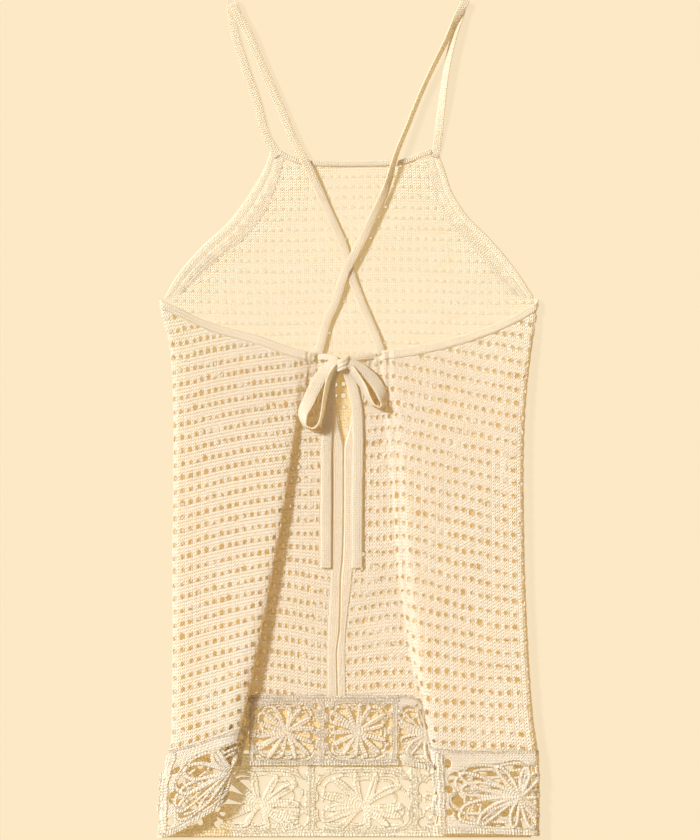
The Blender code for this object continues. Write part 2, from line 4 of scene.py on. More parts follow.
import bpy
import numpy as np
from mathutils import Vector
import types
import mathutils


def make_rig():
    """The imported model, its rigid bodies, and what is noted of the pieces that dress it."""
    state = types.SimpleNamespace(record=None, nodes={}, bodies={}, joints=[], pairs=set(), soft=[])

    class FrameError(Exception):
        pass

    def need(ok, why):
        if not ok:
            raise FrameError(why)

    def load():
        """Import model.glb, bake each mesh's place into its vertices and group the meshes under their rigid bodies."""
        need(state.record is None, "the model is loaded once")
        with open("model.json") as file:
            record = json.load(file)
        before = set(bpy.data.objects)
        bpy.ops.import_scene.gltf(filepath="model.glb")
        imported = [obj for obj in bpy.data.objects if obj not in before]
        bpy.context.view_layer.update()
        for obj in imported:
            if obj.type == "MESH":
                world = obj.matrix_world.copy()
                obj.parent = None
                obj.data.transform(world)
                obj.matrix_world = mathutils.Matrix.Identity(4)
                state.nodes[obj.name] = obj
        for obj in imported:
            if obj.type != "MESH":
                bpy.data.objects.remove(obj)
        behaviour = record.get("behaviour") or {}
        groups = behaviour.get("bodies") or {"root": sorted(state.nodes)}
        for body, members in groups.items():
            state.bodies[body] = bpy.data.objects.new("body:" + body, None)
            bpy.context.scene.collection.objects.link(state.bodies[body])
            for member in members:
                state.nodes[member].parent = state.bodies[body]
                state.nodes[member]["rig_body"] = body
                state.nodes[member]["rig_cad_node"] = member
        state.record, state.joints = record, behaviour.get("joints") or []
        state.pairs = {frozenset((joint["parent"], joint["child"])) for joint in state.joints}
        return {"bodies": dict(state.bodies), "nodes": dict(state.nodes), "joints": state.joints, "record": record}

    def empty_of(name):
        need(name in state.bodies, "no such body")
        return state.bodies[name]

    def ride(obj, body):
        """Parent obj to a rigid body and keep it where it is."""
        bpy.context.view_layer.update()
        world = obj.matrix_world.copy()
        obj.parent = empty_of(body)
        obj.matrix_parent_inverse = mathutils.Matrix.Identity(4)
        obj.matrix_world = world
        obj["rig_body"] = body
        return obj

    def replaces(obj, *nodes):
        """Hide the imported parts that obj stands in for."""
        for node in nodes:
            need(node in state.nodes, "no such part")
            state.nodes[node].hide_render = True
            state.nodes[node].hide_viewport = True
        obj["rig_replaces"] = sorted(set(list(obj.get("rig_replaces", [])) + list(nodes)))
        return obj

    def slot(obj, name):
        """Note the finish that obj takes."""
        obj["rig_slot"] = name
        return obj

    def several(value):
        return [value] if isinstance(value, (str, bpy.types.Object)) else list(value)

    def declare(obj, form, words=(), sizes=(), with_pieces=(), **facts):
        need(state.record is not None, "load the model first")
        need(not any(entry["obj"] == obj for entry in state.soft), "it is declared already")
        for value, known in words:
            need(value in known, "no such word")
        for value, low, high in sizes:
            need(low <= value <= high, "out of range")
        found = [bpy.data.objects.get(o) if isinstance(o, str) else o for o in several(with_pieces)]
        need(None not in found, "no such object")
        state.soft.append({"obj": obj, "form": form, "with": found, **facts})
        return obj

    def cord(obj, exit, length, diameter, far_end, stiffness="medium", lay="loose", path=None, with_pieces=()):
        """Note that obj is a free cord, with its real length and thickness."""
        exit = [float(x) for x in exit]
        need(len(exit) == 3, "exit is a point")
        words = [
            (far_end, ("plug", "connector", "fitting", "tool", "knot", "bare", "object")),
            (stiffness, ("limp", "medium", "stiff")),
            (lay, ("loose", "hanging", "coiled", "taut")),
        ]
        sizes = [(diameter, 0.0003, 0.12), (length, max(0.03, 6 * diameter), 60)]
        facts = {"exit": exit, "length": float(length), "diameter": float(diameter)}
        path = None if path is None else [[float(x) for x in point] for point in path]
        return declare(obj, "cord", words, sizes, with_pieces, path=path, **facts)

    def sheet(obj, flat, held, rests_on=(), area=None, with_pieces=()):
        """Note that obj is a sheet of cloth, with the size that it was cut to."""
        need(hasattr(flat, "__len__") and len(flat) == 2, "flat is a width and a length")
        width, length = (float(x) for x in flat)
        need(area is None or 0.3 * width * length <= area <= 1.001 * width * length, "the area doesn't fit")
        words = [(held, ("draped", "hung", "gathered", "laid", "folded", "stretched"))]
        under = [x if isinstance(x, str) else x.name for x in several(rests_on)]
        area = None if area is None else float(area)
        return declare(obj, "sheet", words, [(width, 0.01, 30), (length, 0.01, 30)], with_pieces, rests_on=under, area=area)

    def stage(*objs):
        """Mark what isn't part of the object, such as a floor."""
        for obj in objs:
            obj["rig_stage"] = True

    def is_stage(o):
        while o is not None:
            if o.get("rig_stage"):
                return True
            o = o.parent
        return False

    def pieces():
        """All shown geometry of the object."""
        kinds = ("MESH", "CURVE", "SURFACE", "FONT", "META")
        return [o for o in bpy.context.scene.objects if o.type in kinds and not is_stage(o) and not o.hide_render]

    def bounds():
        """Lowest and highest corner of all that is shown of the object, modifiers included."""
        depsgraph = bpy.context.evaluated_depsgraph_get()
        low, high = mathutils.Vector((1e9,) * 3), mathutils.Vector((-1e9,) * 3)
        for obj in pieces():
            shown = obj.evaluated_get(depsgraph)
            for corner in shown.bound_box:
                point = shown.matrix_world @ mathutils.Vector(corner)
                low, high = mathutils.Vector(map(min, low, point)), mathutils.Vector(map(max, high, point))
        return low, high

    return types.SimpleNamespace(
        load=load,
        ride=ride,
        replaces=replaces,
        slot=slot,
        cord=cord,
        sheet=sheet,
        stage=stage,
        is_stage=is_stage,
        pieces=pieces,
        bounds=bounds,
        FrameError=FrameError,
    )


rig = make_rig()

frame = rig.load()
box_at_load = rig.bounds()

rng = np.random.default_rng(7)
SHIFT = np.array([0.50, 0.07, 0.0])   # drawing to frame, mm
# Heights of the front, the side seam and the back where it lies level, and the least height, mm.
FRONT_Z, SEAM_Z, LOW_Z, FLOOR_GAP = 1.0, 1.1, 3.8, 0.05
CASING_WIDE, CENTRE_LACE_LONG = 8.6, 172
WALE, ROW, STITCH = 3.5, 2.5, 3.0   # width and height of a knit stitch, length of a chain stitch
UP = np.array([0.0, 0, 1])
CORNERS = range(17)   # features of a half section, from the side seam to the slit

# Half sections of the back, a row per height, q outwards from the centre line, mm.
# y, side fold, its radius, height over the lobe, height at the inner fold, fold q, overlap, slit q
LEFT = [
    (130, 188, 2.4, 4.6, 4.6, 45, -8, 24.5),
    (111, 188, 2.6, 5.2, 5.0, 45, -8, 24.5),
    (74, 179, 3.8, 8.0, 7.0, 45, -7, 24.5),
    (34, 176, 4.8, 10.5, 9.5, 49, -5, 24.2),
    (-6, 175, 5.2, 11.5, 11.5, 53, -2, 20.0),
    (-51, 175, 5.4, 12.0, 13.5, 59, 2, 15.6),
    (-141, 176, 5.5, 12.5, 15.5, 74, 5, 17.0),
    (-231, 176, 5.5, 12.5, 17.0, 91, 8, 21.0),
    (-316, 177, 5.5, 13.5, 18.0, 109, 10, 21.0),
    (-371, 189, 5.5, 14.0, 17.5, 121, 10, 21.0),
    (-419, 190, 5.5, 13.0, 16.0, 131, 10, 21.0),
]
RIGHT = [
    (130, 188, 2.4, 4.6, 4.6, 38, -8, 18.0),
    (112, 188, 2.6, 5.2, 5.0, 38, -8, 18.0),
    (74, 183, 3.8, 7.5, 6.5, 40, -8, 18.0),
    (34, 178, 4.8, 9.5, 8.0, 44, -8, 16.0),
    (-6, 175, 5.0, 10.5, 9.5, 48, -8, 11.0),
    (-51, 174, 5.2, 11.0, 10.5, 52, -8, 5.4),
    (-141, 175, 5.2, 11.5, 12.0, 58, -7, 4.0),
    (-231, 179, 5.2, 11.5, 13.5, 67, -4, -4.0),
    (-301, 184, 5.4, 12.0, 15.5, 77, 2, -3.0),
    (-341, 189, 5.5, 12.5, 16.0, 83, 7, -3.0),
    (-419, 189, 5.5, 12.5, 15.0, 86, 8, -3.0),
]
# feature, neckline, top of the hem squares, hem
LEFT_EDGES = [
    (0, 111, -333, -419), (2, 111, -333, -419), (4, 109, -331, -418), (5, 87, -326, -411),
    (6, 74, -319, -400), (7, 62, -315, -390), (9, 60, -312, -380), (10, 59, -303, -370),
    (12, 58.5, -291, -357), (13, 58, -283, -351), (14, 58, -279, -347), (15, 57.5, -278, -346),
    (16, 57, -278, -346),
]
RIGHT_EDGES = [
    (0, 112, -333, -417), (2, 112, -333, -417), (4, 107, -333, -416), (5, 82, -333, -415),
    (6, 68.5, -333, -414), (7, 62, -331, -414), (9, 61, -328, -412), (10, 60, -315, -398),
    (12, 59, -300, -380), (13, 58.5, -287, -364), (14, 58, -280, -350), (15, 57.5, -278, -346),
    (16, 57, -278, -346),
]
LACE_SPLIT = (14.0, 14.55)   # features where the lobes' squares meet the level ones
HEM_DEEP = 80
# net row, then how far it climbs from the side at these features
RISE_AT = [0, 2, 4, 5, 6, 7, 9, 12, 14, 16]
RISE_LEFT = [
    (-4, -2, -1.5, 0, 9, 16, 20, 21.5, 23, 24, 25),
    (16, -2, -1.5, 0, 8.5, 16, 20, 21.5, 23, 24, 25),
    (22, -2, -1.5, 0, 8, 15, 20, 22, 24, 26, 17),
    (34, -2, -1.5, 0, 5, 12, 19, 22, 25, 27, 18),
]
RISE_RIGHT = [
    (-4, -3.5, -3, -2, 6.5, 16, 24, 26.5, 26, 25.5, 25),
    (16, -3.5, -3, -2, 6.5, 15.5, 23, 26, 26, 25, 24),
    (20, -3.5, -3, -1.5, 5, 13, 21, 23, 24, 22, 18),
    (25, -2.5, -2, -1, 2, 10, 15, 17, 22, 25, 18),
    (28, -1.5, -1, 0, 2, 5.5, 8, 10, 17, 22, 19),
    (34, 0, 0, 0, 1, 2, 4, 6, 14, 20, 19),
]
# outer x, outer y, inner x, inner y
ARMHOLE_LEFT = [
    (-78.5, 268.2, -65.0, 259.8), (-86, 249, -71, 236), (-97, 230, -79.3, 215),
    (-109, 212, -90, 197), (-123, 195, -102.3, 182), (-148, 172, -125.3, 164),
    (-174, 141, -148.3, 144), (-185.5, 120.5, -166.3, 126),
]
ARMHOLE_RIGHT = [
    (89.3, 266.5, 75.5, 259.0), (96, 249, 81, 238), (102, 230, 86, 219), (120, 202, 105, 191),
    (140, 182, 125, 170), (166, 151, 150, 140), (186, 121, 168, 122),
]
NECK = [
    (-69.5, 266.5), (-61, 262.0), (-49, 257.5), (-37, 255.7), (1, 255.2), (49, 256.5),
    (63, 260.5), (75, 265.5), (82.5, 267.3),
]
# y, left band, right band
PLACKET = [
    (57, -14.0, 8.0), (34, -13.8, 6.0), (-6, -10.0, 1.0), (-31, -5.2, -4.8), (-87, -5.2, -4.8),
    (-136, -6.2, -5.8), (-160, -8.2, -7.8), (-208, -9.2, -8.8), (-236, -12.2, -11.8),
    (-277, -11.2, -10.8),
]
# x, y, z, plan angle, roll
STRAP_LEFT = [
    (-70.5, 262.5, 1.4, -36, 0), (-76, 271.5, 1.3, -30, 0),
    (-82, 281, 1.3, -20, 0), (-92, 317, 1.3, -17, 0),
    (-105, 355, 1.3, -15, 0), (-116, 394, 1.4, -10, 0), (-118, 413, 1.9, -5, 0),
    (-117, 417.6, 3.6, 0, 0), (-115, 414, 5.6, 10, 0), (-113, 408, 5.8, 18, 0),
    (-102, 388, 5.4, 24, 0), (-87, 353, 4.6, 24, 0), (-71, 317, 4.4, 23, 0),
    (-54, 276, 5.0, 25, 0), (-43, 256, 5.2, 24, 0), (-20, 205, 3.6, 23, 0),
    (-5, 171, 3.6, 19, 0), (3, 141, 3.6, 20, 0), (11, 119, 3.6, 22, 0), (20, 98, 3.7, 22, 0),
    (28, 78, 4.6, 22, 0), (31, 69.5, 4.6, 22, 0), (33, 65, 3.6, 22, 0),
]
STRAP_RIGHT = [
    (85.0, 262.0, 1.4, 14, 0), (87.5, 270, 1.3, 10, 0), (91, 300, 2.6, 8, 20),
    (97, 346, 4.2, 10, 46),
    (105, 383, 4.2, 14, 44), (111, 403, 3.4, 14, 24), (113.5, 412, 2.6, 8, 6),
    (116, 417.4, 4.4, 0, 0), (113.5, 412, 6.4, -12, 12), (108, 401, 7.4, -20, 30),
    (97, 378, 6.6, -23, 58), (76, 335, 6.6, -23, 62), (59, 294, 7.4, -23, 62),
    (46, 261, 8.6, -22, 58), (38, 233, 7.0, -20, 35), (18, 189, 6.2, -25, 10),
    (5, 164, 6.3, -26, 0), (-5, 144, 6.0, -22, 0), (-13, 119, 4.6, -20, 0),
    (-23, 95, 4.0, -22, 0), (-28, 76, 4.6, -16, 0), (-29.8, 69.5, 4.6, -14, 0),
    (-30.8, 65, 3.6, -14, 0),
]
# x, y, z, roll
LEAD_LEFT = [(-31, 61.5, 3.2, 0), (-25, 62.2, 5.6, 4), (-17, 60.9, 7.6, 8), (-8, 56.5, 9.6, 10)]
LEAD_RIGHT = [(27, 62.0, 3.0, 0), (18, 62.6, 5.4, 0), (8, 61.4, 7.4, -4), (-2, 57.0, 9.4, -8)]
LOOP_LEFT = [
    (-9.0, 58.0, 11.4, -14), (-16.0, 54.0, 12.2, -14), (-25, 46, 11.6, -8),
    (-33.5, 33, 10.9, -5), (-40.5, 18, 11.2, -14),
    (-46.0, 4, 12.9, -45), (-44.0, -6.5, 13.6, -78), (-36.5, -9.6, 13.6, -88),
    (-29.5, -4, 13.4, -82), (-26.0, 9, 12.6, -76), (-23.5, 24, 12.2, -72),
    (-20.5, 37, 12.4, -66), (-15.6, 46.0, 12.4, -54), (-11, 51, 11.4, -42),
]
LOOP_RIGHT = [
    (-3.0, 58.6, 11.4, 14), (3.4, 54.4, 12.2, 14), (15, 47.0, 11.6, 12),
    (26.5, 36, 11.0, 14), (32.5, 25, 11.2, 30),
    (34.0, 16.5, 12.2, 62), (30.5, 11.2, 12.9, 84), (25.0, 13.4, 12.9, 80),
    (19.5, 21.5, 12.3, 70), (14.5, 32, 12.2, 62), (6.6, 43.4, 12.2, 52), (1, 50, 11.2, 42),
]
TAIL_LEFT = [
    (-13.0, 49.5, 9.0, 0), (-18.0, 40, 6.8, 0), (-20.0, 20, 6.4, 0), (-21.5, -5, 6.3, 0),
    (-22.8, -40, 6.3, 0), (-22.8, -90, 6.3, 0), (-23.0, -149, 6.3, 0),
]
TAIL_RIGHT = [
    (-2.6, 51.0, 9.4, 0), (1.0, 41.0, 7.2, 0), (4.5, 27, 6.6, 0), (8.0, 8, 6.3, 0),
    (9.0, -20, 6.3, 0), (8.2, -80, 6.3, 0), (8.0, -149, 6.3, 0),
]
# centre across, centre up, reach left, reach right, reach up, reach down
FRONT_FLOWERS = [
    (-192, -387, 46, 46, 36, 24), (-89, -387, 46, 46, 36, 24), (14, -388, 46, 46, 36, 23),
    (117, -387, 46, 46, 36, 24), (208, -387, 40, 46, 36, 24),
]
CENTRE_FLOWERS = [(-63, -313, 31, 31, 29, 29), (9, -312, 31, 31, 29, 29)]
# the same, from the side seam along the hem and up from its top
LEFT_FLOWERS = [(77, -42, 56, 40, 35, 34), (-12, -42, 22, 24, 35, 34)]
RIGHT_FLOWERS = [(30, -43, 24, 75, 36, 35), (140, -40, 26, 32, 35, 34)]


def slopes(h, d):
    """Tangents at knots with steps h and secants d, along the first axis, without overshoot."""
    m = np.empty((len(h) + 1, *d.shape[1:]))
    m[0], m[-1] = d[0], d[-1]
    a, b = d[:-1], d[1:]
    w1, w2 = 2 * h[1:] + h[:-1], h[1:] + 2 * h[:-1]
    same = a * b > 0
    m[1:-1] = np.where(same, (w1 + w2) / (w1 / np.where(same, a, 1) + w2 / np.where(same, b, 1)), 0)
    return m


def blend(v0, v1, m0, m1, step, u):
    """Values at a share u between two knots, from the knots' values and tangents."""
    return (
        v0 * (1 + 2 * u) * (1 - u) ** 2 + m0 * step * u * (1 - u) ** 2
        + v1 * u * u * (3 - 2 * u) + m1 * step * u * u * (u - 1)
    )


def through(v, h, i, u):
    """Smooth line through knots v with steps h, read at shares u after knots i."""
    m = slopes(h, np.diff(v, axis=0) / h)
    return blend(v[i], v[i + 1], m[i], m[i + 1], h[i], u)


def curve(rows, at):
    """Smooth reading of a table at values of its first column."""
    table = np.asarray(rows, float)
    x, v = table[:, 0], table[:, 1:]
    if x[0] > x[-1]:
        x, v = x[::-1], v[::-1]
    h = np.diff(x)[:, None]
    at = np.asarray(at, float)
    i = np.clip(np.searchsorted(x, at) - 1, 0, len(h) - 1)
    return through(v, h, i, np.clip((at - x[i]) / h[i, 0], -0.3, 1.3)[..., None])


def taken(values, index):
    """Values at an index along the last axis."""
    return np.take_along_axis(values, index[..., None], -1)[..., 0]


def of_four(grid):
    """Sum over the four corners of each cell."""
    return grid[:-1, :-1] + grid[1:, :-1] + grid[:-1, 1:] + grid[1:, 1:]


def running(points):
    """Distance along a line at each of its points."""
    steps = np.linalg.norm(np.diff(points, axis=0), axis=1)
    return np.concatenate([[0], np.cumsum(steps)])


def unit(v):
    """Vectors brought to length 1."""
    return v / np.linalg.norm(v, axis=-1, keepdims=True)


def features(table, y):
    """Corner points of half sections at heights y, feature first: from the seam round the side,
    over the lobe to its inner fold, back under it and along the level part to the slit."""
    edge, roll, mid, ridge, fold, over, slit = curve(table, y).T
    rise = ridge - LOW_Z
    turn = np.minimum(1.9, 0.2 * rise + 0.2)
    deep = np.clip((over + 3) / 5, 0, 1)
    valley = fold + over
    third = valley - 1 - 2.5 * (1 - deep)
    low = np.minimum(fold - 8, third - 4)
    shoulder, inner = edge - roll, fold + 9
    flat = np.full_like(edge, LOW_Z)
    q = [
        shoulder, edge - 0.29 * roll, edge, edge - 0.29 * roll, shoulder,
        shoulder + 0.36 * (inner - shoulder), shoulder + 0.72 * (inner - shoulder), inner,
        fold + 3, fold, fold + 0.6 * over, valley - 1 + 1.5 * (1 - deep),
        valley + turn * deep - (1 - deep), third, low, 0.5 * (low + slit), slit,
    ]
    z = [
        np.full_like(edge, SEAM_Z), SEAM_Z + 0.29 * roll, SEAM_Z + roll, SEAM_Z + 1.71 * roll,
        SEAM_Z + 2 * roll, mid, 0.5 * (mid + ridge), ridge, ridge - 0.07 * rise,
        ridge - 0.27 * rise, LOW_Z + 0.46 * rise, LOW_Z + 2 * turn, LOW_Z + turn,
        flat, flat, flat, flat,
    ]
    return np.array(q), np.array(z)


class Cloth:
    """Half of the back as grids over height and feature: places, normals and running share."""

    MEASURED_AT = (60.0, -150.0, -330.0)      # heights in the neckline, the net and the hem
    STEP, PER_FEATURE, SHARES = 2.0, 40, 500  # steps of the grids
    RIPPLE_HIGH, RIPPLE_WIDE, RIPPLE_REACH = 0.7, 9.0, 46   # gathers below the neckline

    def __init__(self, side, table, edges):
        self.side, self.table = side, table
        self.ys = np.arange(-430.0, 134.0, self.STEP)
        self.fs = np.linspace(0, CORNERS[-1], CORNERS[-1] * self.PER_FEATURE + 1)
        q, z = features(table, self.ys)
        h = np.hypot(np.diff(q, axis=0), np.diff(z, axis=0))
        i = np.minimum(self.fs.astype(int), CORNERS[-2])
        u = (self.fs - i)[:, None]
        x, z = side * through(q, h, i, u).T, through(z, h, i, u).T
        neck_run, self.knots, self.hem_run = map(self._round, self.MEASURED_AT)
        at, *heights = np.array(edges, float).T
        level = []
        for values, run in zip(heights, (neck_run, self.hem_run, self.hem_run)):
            rows = np.column_stack([np.interp(at, CORNERS, run), values])
            level.append(curve(rows, np.interp(self.fs, CORNERS, run))[:, 0])
        self.top, self.lace, self.hem = level
        y = np.repeat(self.ys[:, None], len(self.fs), 1)
        near = np.clip(1 - (self.top - y) / self.RIPPLE_REACH, 0, 1)
        inner = np.clip((self.fs - 7) / 3, 0, 1)
        ripple = 1 + np.cos(x * 2 * math.pi / self.RIPPLE_WIDE)
        z = z + self.RIPPLE_HIGH * near * inner * ripple
        self.places = np.stack([x, y, z], -1)
        across = np.gradient(self.places, axis=1)
        up = np.gradient(self.places, axis=0)
        n = np.cross(up, across) * side
        self.normals = n / np.maximum(np.linalg.norm(n, axis=-1, keepdims=True), 1e-9)
        step = np.linalg.norm(np.diff(self.places, axis=1), axis=-1)
        run = np.concatenate([np.zeros((len(self.ys), 1)), np.cumsum(step, axis=1)], 1)
        spread = np.linspace(0, 1, self.SHARES + 1)
        self.inverse = np.array([np.interp(spread, r / r[-1], self.fs) for r in run])

    def _round(self, y):
        """Distance round the half section at height y at each of its corners."""
        q, z = features(self.table, np.array([y]))
        return np.concatenate([[0], np.cumsum(np.hypot(np.diff(q[:, 0]), np.diff(z[:, 0])))])

    def _read(self, grid, y, column):
        """A grid's value at heights y and fractional columns."""
        row = (y - self.ys[0]) / self.STEP
        row = np.clip(row, 0, grid.shape[0] - 1.001)
        column = np.clip(column, 0, grid.shape[1] - 1.001)
        i, j = row.astype(int), column.astype(int)
        a, b = row - i, column - j
        if grid.ndim == 3:
            a, b = a[..., None], b[..., None]
        return (
            grid[i, j] * (1 - a) * (1 - b) + grid[i + 1, j] * a * (1 - b)
            + grid[i, j + 1] * (1 - a) * b + grid[i + 1, j + 1] * a * b
        )

    def at(self, f, y):
        """Places and outward normals at features f and heights y."""
        f, y = np.broadcast_arrays(np.asarray(f, float), np.asarray(y, float))
        p = self._read(self.places, y, f * self.PER_FEATURE)
        n = self._read(self.normals, y, f * self.PER_FEATURE)
        return p, unit(n)

    def feature(self, share, y):
        """Feature at a share of the way from the seam to the slit."""
        return self._read(self.inverse, y, share * self.SHARES)

    def edge(self, which, f):
        """Height of an edge (top, lace or hem) at features f."""
        return np.interp(f, self.fs, which)

    def on_hem(self, a, b):
        """Places and normals at distances along the hem and depths from its top to HEM_DEEP."""
        f = np.interp(a, self.hem_run, CORNERS)
        top, low = self.edge(self.lace, f), self.edge(self.hem, f)
        return self.at(f, top + (low - top) * b / HEM_DEEP)


left_cloth = Cloth(-1, LEFT, LEFT_EDGES)
right_cloth = Cloth(1, RIGHT, RIGHT_EDGES)


# ---- materials
def fill(tree, made, inputs):
    """Gives a node's inputs, by name or number, values or other nodes' outputs."""
    for key, value in inputs.items():
        if isinstance(value, bpy.types.NodeSocket):
            tree.links.new(value, made.inputs[key])
        else:
            made.inputs[key].default_value = value


def node(tree, kind, inputs, **settings):
    made = tree.nodes.new("ShaderNode" + kind)
    for key, value in settings.items():
        setattr(made, key, value)
    fill(tree, made, inputs)
    return made


def maths(tree, operation, *values, clamp=False):
    inputs = dict(enumerate(values))
    return node(tree, "Math", inputs, operation=operation, use_clamp=clamp).outputs[0]


def noise(tree, place, scale):
    return node(tree, "TexNoise", {"Vector": place, "Scale": scale, "Detail": 2.0}).outputs[0]


def blended(tree, share, first, second):
    """The first colour where the share is 0, the second where it is 1."""
    return node(tree, "Mix", {0: share, 6: first, 7: second}, data_type="RGBA").outputs[2]


def material(name):
    mat = bpy.data.materials.new(name)
    mat.use_nodes = True
    return mat, mat.node_tree, mat.node_tree.nodes["Principled BSDF"]


def show(tree, share, first, second):
    """Shows the first shader and a share of the second as the material's surface."""
    both = node(tree, "MixShader", {0: share, 1: first.outputs[0], 2: second.outputs[0]})
    fill(tree, tree.nodes["Material Output"], {"Surface": both.outputs[0]})


def knit_height(tree, per_u, per_v):
    """Height of a pattern of V stitches, read from the piece's own width and length."""
    uv = node(tree, "UVMap", {}, uv_map="UVMap")
    parts = node(tree, "SeparateXYZ", {0: uv.outputs[0]})
    leg = maths(tree, "PINGPONG", maths(tree, "MULTIPLY", parts.outputs[0], per_u), 0.5)
    row = maths(tree, "MULTIPLY", parts.outputs[1], per_v)
    phase = maths(tree, "ADD", row, maths(tree, "MULTIPLY", leg, 1.3))
    wave = maths(tree, "SINE", maths(tree, "MULTIPLY", phase, 2 * math.pi))
    wave = maths(tree, "MULTIPLY_ADD", wave, 0.5, 0.5)
    rib = maths(tree, "SINE", maths(tree, "MULTIPLY", leg, 2 * math.pi))
    return maths(tree, "MULTIPLY", wave, maths(tree, "MULTIPLY_ADD", rib, 0.6, 0.4))


def with_painted_shade(tree, place, colour, axis, centre, edge, slope):
    """The colour, turned to a painted shade of deeper cream where the front lies under the back."""
    spot = node(tree, "SeparateXYZ", {0: place})
    away = maths(tree, "ABSOLUTE", maths(tree, "SUBTRACT", spot.outputs[axis], centre))
    above = maths(tree, "MULTIPLY", maths(tree, "SUBTRACT", away, edge), slope, clamp=True)
    return blended(tree, above, (*PAINTED_SHADE, 1), colour)


def yarn(name, light, deep, per_u, per_v, depth, grain, glow, shade=None):
    """Matt cotton with a raised stitch pattern, a depth in metres and a share of fine noise."""
    mat, tree, shader = material(name)
    high = knit_height(tree, per_u, per_v)
    place = node(tree, "TexCoord", {}).outputs["Object"]
    fine, broad = noise(tree, place, FINE_NOISE), noise(tree, place, BROAD_NOISE)
    relief = maths(tree, "ADD", high, maths(tree, "MULTIPLY", fine, grain))
    bump = node(tree, "Bump", {"Strength": 1.0, "Distance": depth, "Height": relief})
    # painted light and shade: the stitch height turns the colour from deep in the grooves to light on the tops; the
    # noises add the yarn's fuzz and uneven tone
    tone = maths(tree, "MULTIPLY", high, STITCH_SHADE)
    for part, share in ((fine, FINE_TONE), (broad, BROAD_TONE)):
        tone = maths(tree, "ADD", tone, maths(tree, "MULTIPLY", part, share))
    tone = maths(tree, "SUBTRACT", tone, TONE_START, clamp=True)
    colour = blended(tree, tone, (*deep, 1), (*light, 1))
    # painted shade: a deeper cream where the front lies under the back
    if shade:
        colour = with_painted_shade(tree, place, colour, *shade)
    fill(tree, shader, {
        "Base Color": colour, "Normal": bump.outputs[0], "Roughness": 0.92,
        "Specular IOR Level": 0.12, "Sheen Weight": 0.18, "Sheen Roughness": 0.6,
        "Sheen Tint": (1.0, 0.95, 0.84, 1),
    })
    show(tree, LET_THROUGH, shader, node(tree, "BsdfTranslucent", {"Color": (*glow, 1)}))
    return mat


FINE_NOISE, BROAD_NOISE = 900.0, 45.0   # scales of the yarn's fuzz and of its uneven tone
# the stitch height gives painted shade in the grooves and painted light on the tops; the noises give fuzz and uneven
# tone
STITCH_SHADE, FINE_TONE, BROAD_TONE, TONE_START = 1.3, 2.4, 0.6, 1.15   # from deep to light
LET_THROUGH = 0.45                      # share of the light that goes through the yarn
NET_GLOW, BAND_GLOW, CORD_GLOW = (1.0, 0.775, 0.37), (1.0, 0.84, 0.56), (1.0, 0.80, 0.44)
# the deep colours are a deeper yarn tone and painted shade in the stitches' grooves
NET_LIGHT, NET_DEEP_AND_SHADE = (0.985, 0.97, 0.90), (0.92, 0.79, 0.53)
# painted shade: the deeper cream inside the dress, under the back
FRONT_LIGHT, PAINTED_SHADE = (0.955, 0.945, 0.885), (0.95, 0.745, 0.48)
CORD_LIGHT, FRONT_LACE = (1.0, 0.985, 0.925), (0.965, 0.95, 0.89)
# deep cord colour: a deeper yarn tone and painted shade in the grooves
CORD_DEEP_AND_SHADE = (0.94, 0.81, 0.56)
# Where the painted shade of deeper cream ends: axis, centre, distance from it and slope, metres.
PAINTED_SHADE_BELOW_NECK, PAINTED_SHADE_UNDER_LOBES = (1, -1.0, 1.054, 80.0), (0, -0.012, 0.108, -160.0)
# stitches per unit of u and v, depth of the bump, share of fine noise in it
NET, CORD = (2.0, 4.0, 0.0012, 0.8), (1.0, 0.36, 0.0010, 0.9)
BAND, TAPE = (0.28, 0.42, 0.0008, 1.4), (0.26, 0.42, 0.0008, 1.6)
net_yarn = yarn("net_yarn", NET_LIGHT, NET_DEEP_AND_SHADE, *NET, NET_GLOW)
# the front's net takes painted shade below the back's neckline
front_yarn_painted_shade = yarn("front_yarn_painted_shade", FRONT_LIGHT, NET_DEEP_AND_SHADE, *NET, NET_GLOW, PAINTED_SHADE_BELOW_NECK)
# band and tape: the deep colour is a deeper yarn tone and painted shade in the grooves
band_yarn = yarn("band_yarn", (0.905, 0.87, 0.775), (0.80, 0.67, 0.45), *BAND, BAND_GLOW)
tape_yarn = yarn("tape_yarn", (0.94, 0.90, 0.79), (0.82, 0.67, 0.44), *TAPE, BAND_GLOW)
cord_yarn = yarn("cord_yarn", CORD_LIGHT, CORD_DEEP_AND_SHADE, *CORD, CORD_GLOW)
# the front lace takes painted shade where it lies under the lobes
front_cord_yarn_painted_shade = yarn("front_cord_yarn_painted_shade", FRONT_LACE, CORD_DEEP_AND_SHADE, *CORD, CORD_GLOW, PAINTED_SHADE_UNDER_LOBES)


# ---- meshes
def add(name, data):
    """An object in the scene."""
    made = bpy.data.objects.new(name, data)
    bpy.context.scene.collection.objects.link(made)
    return made


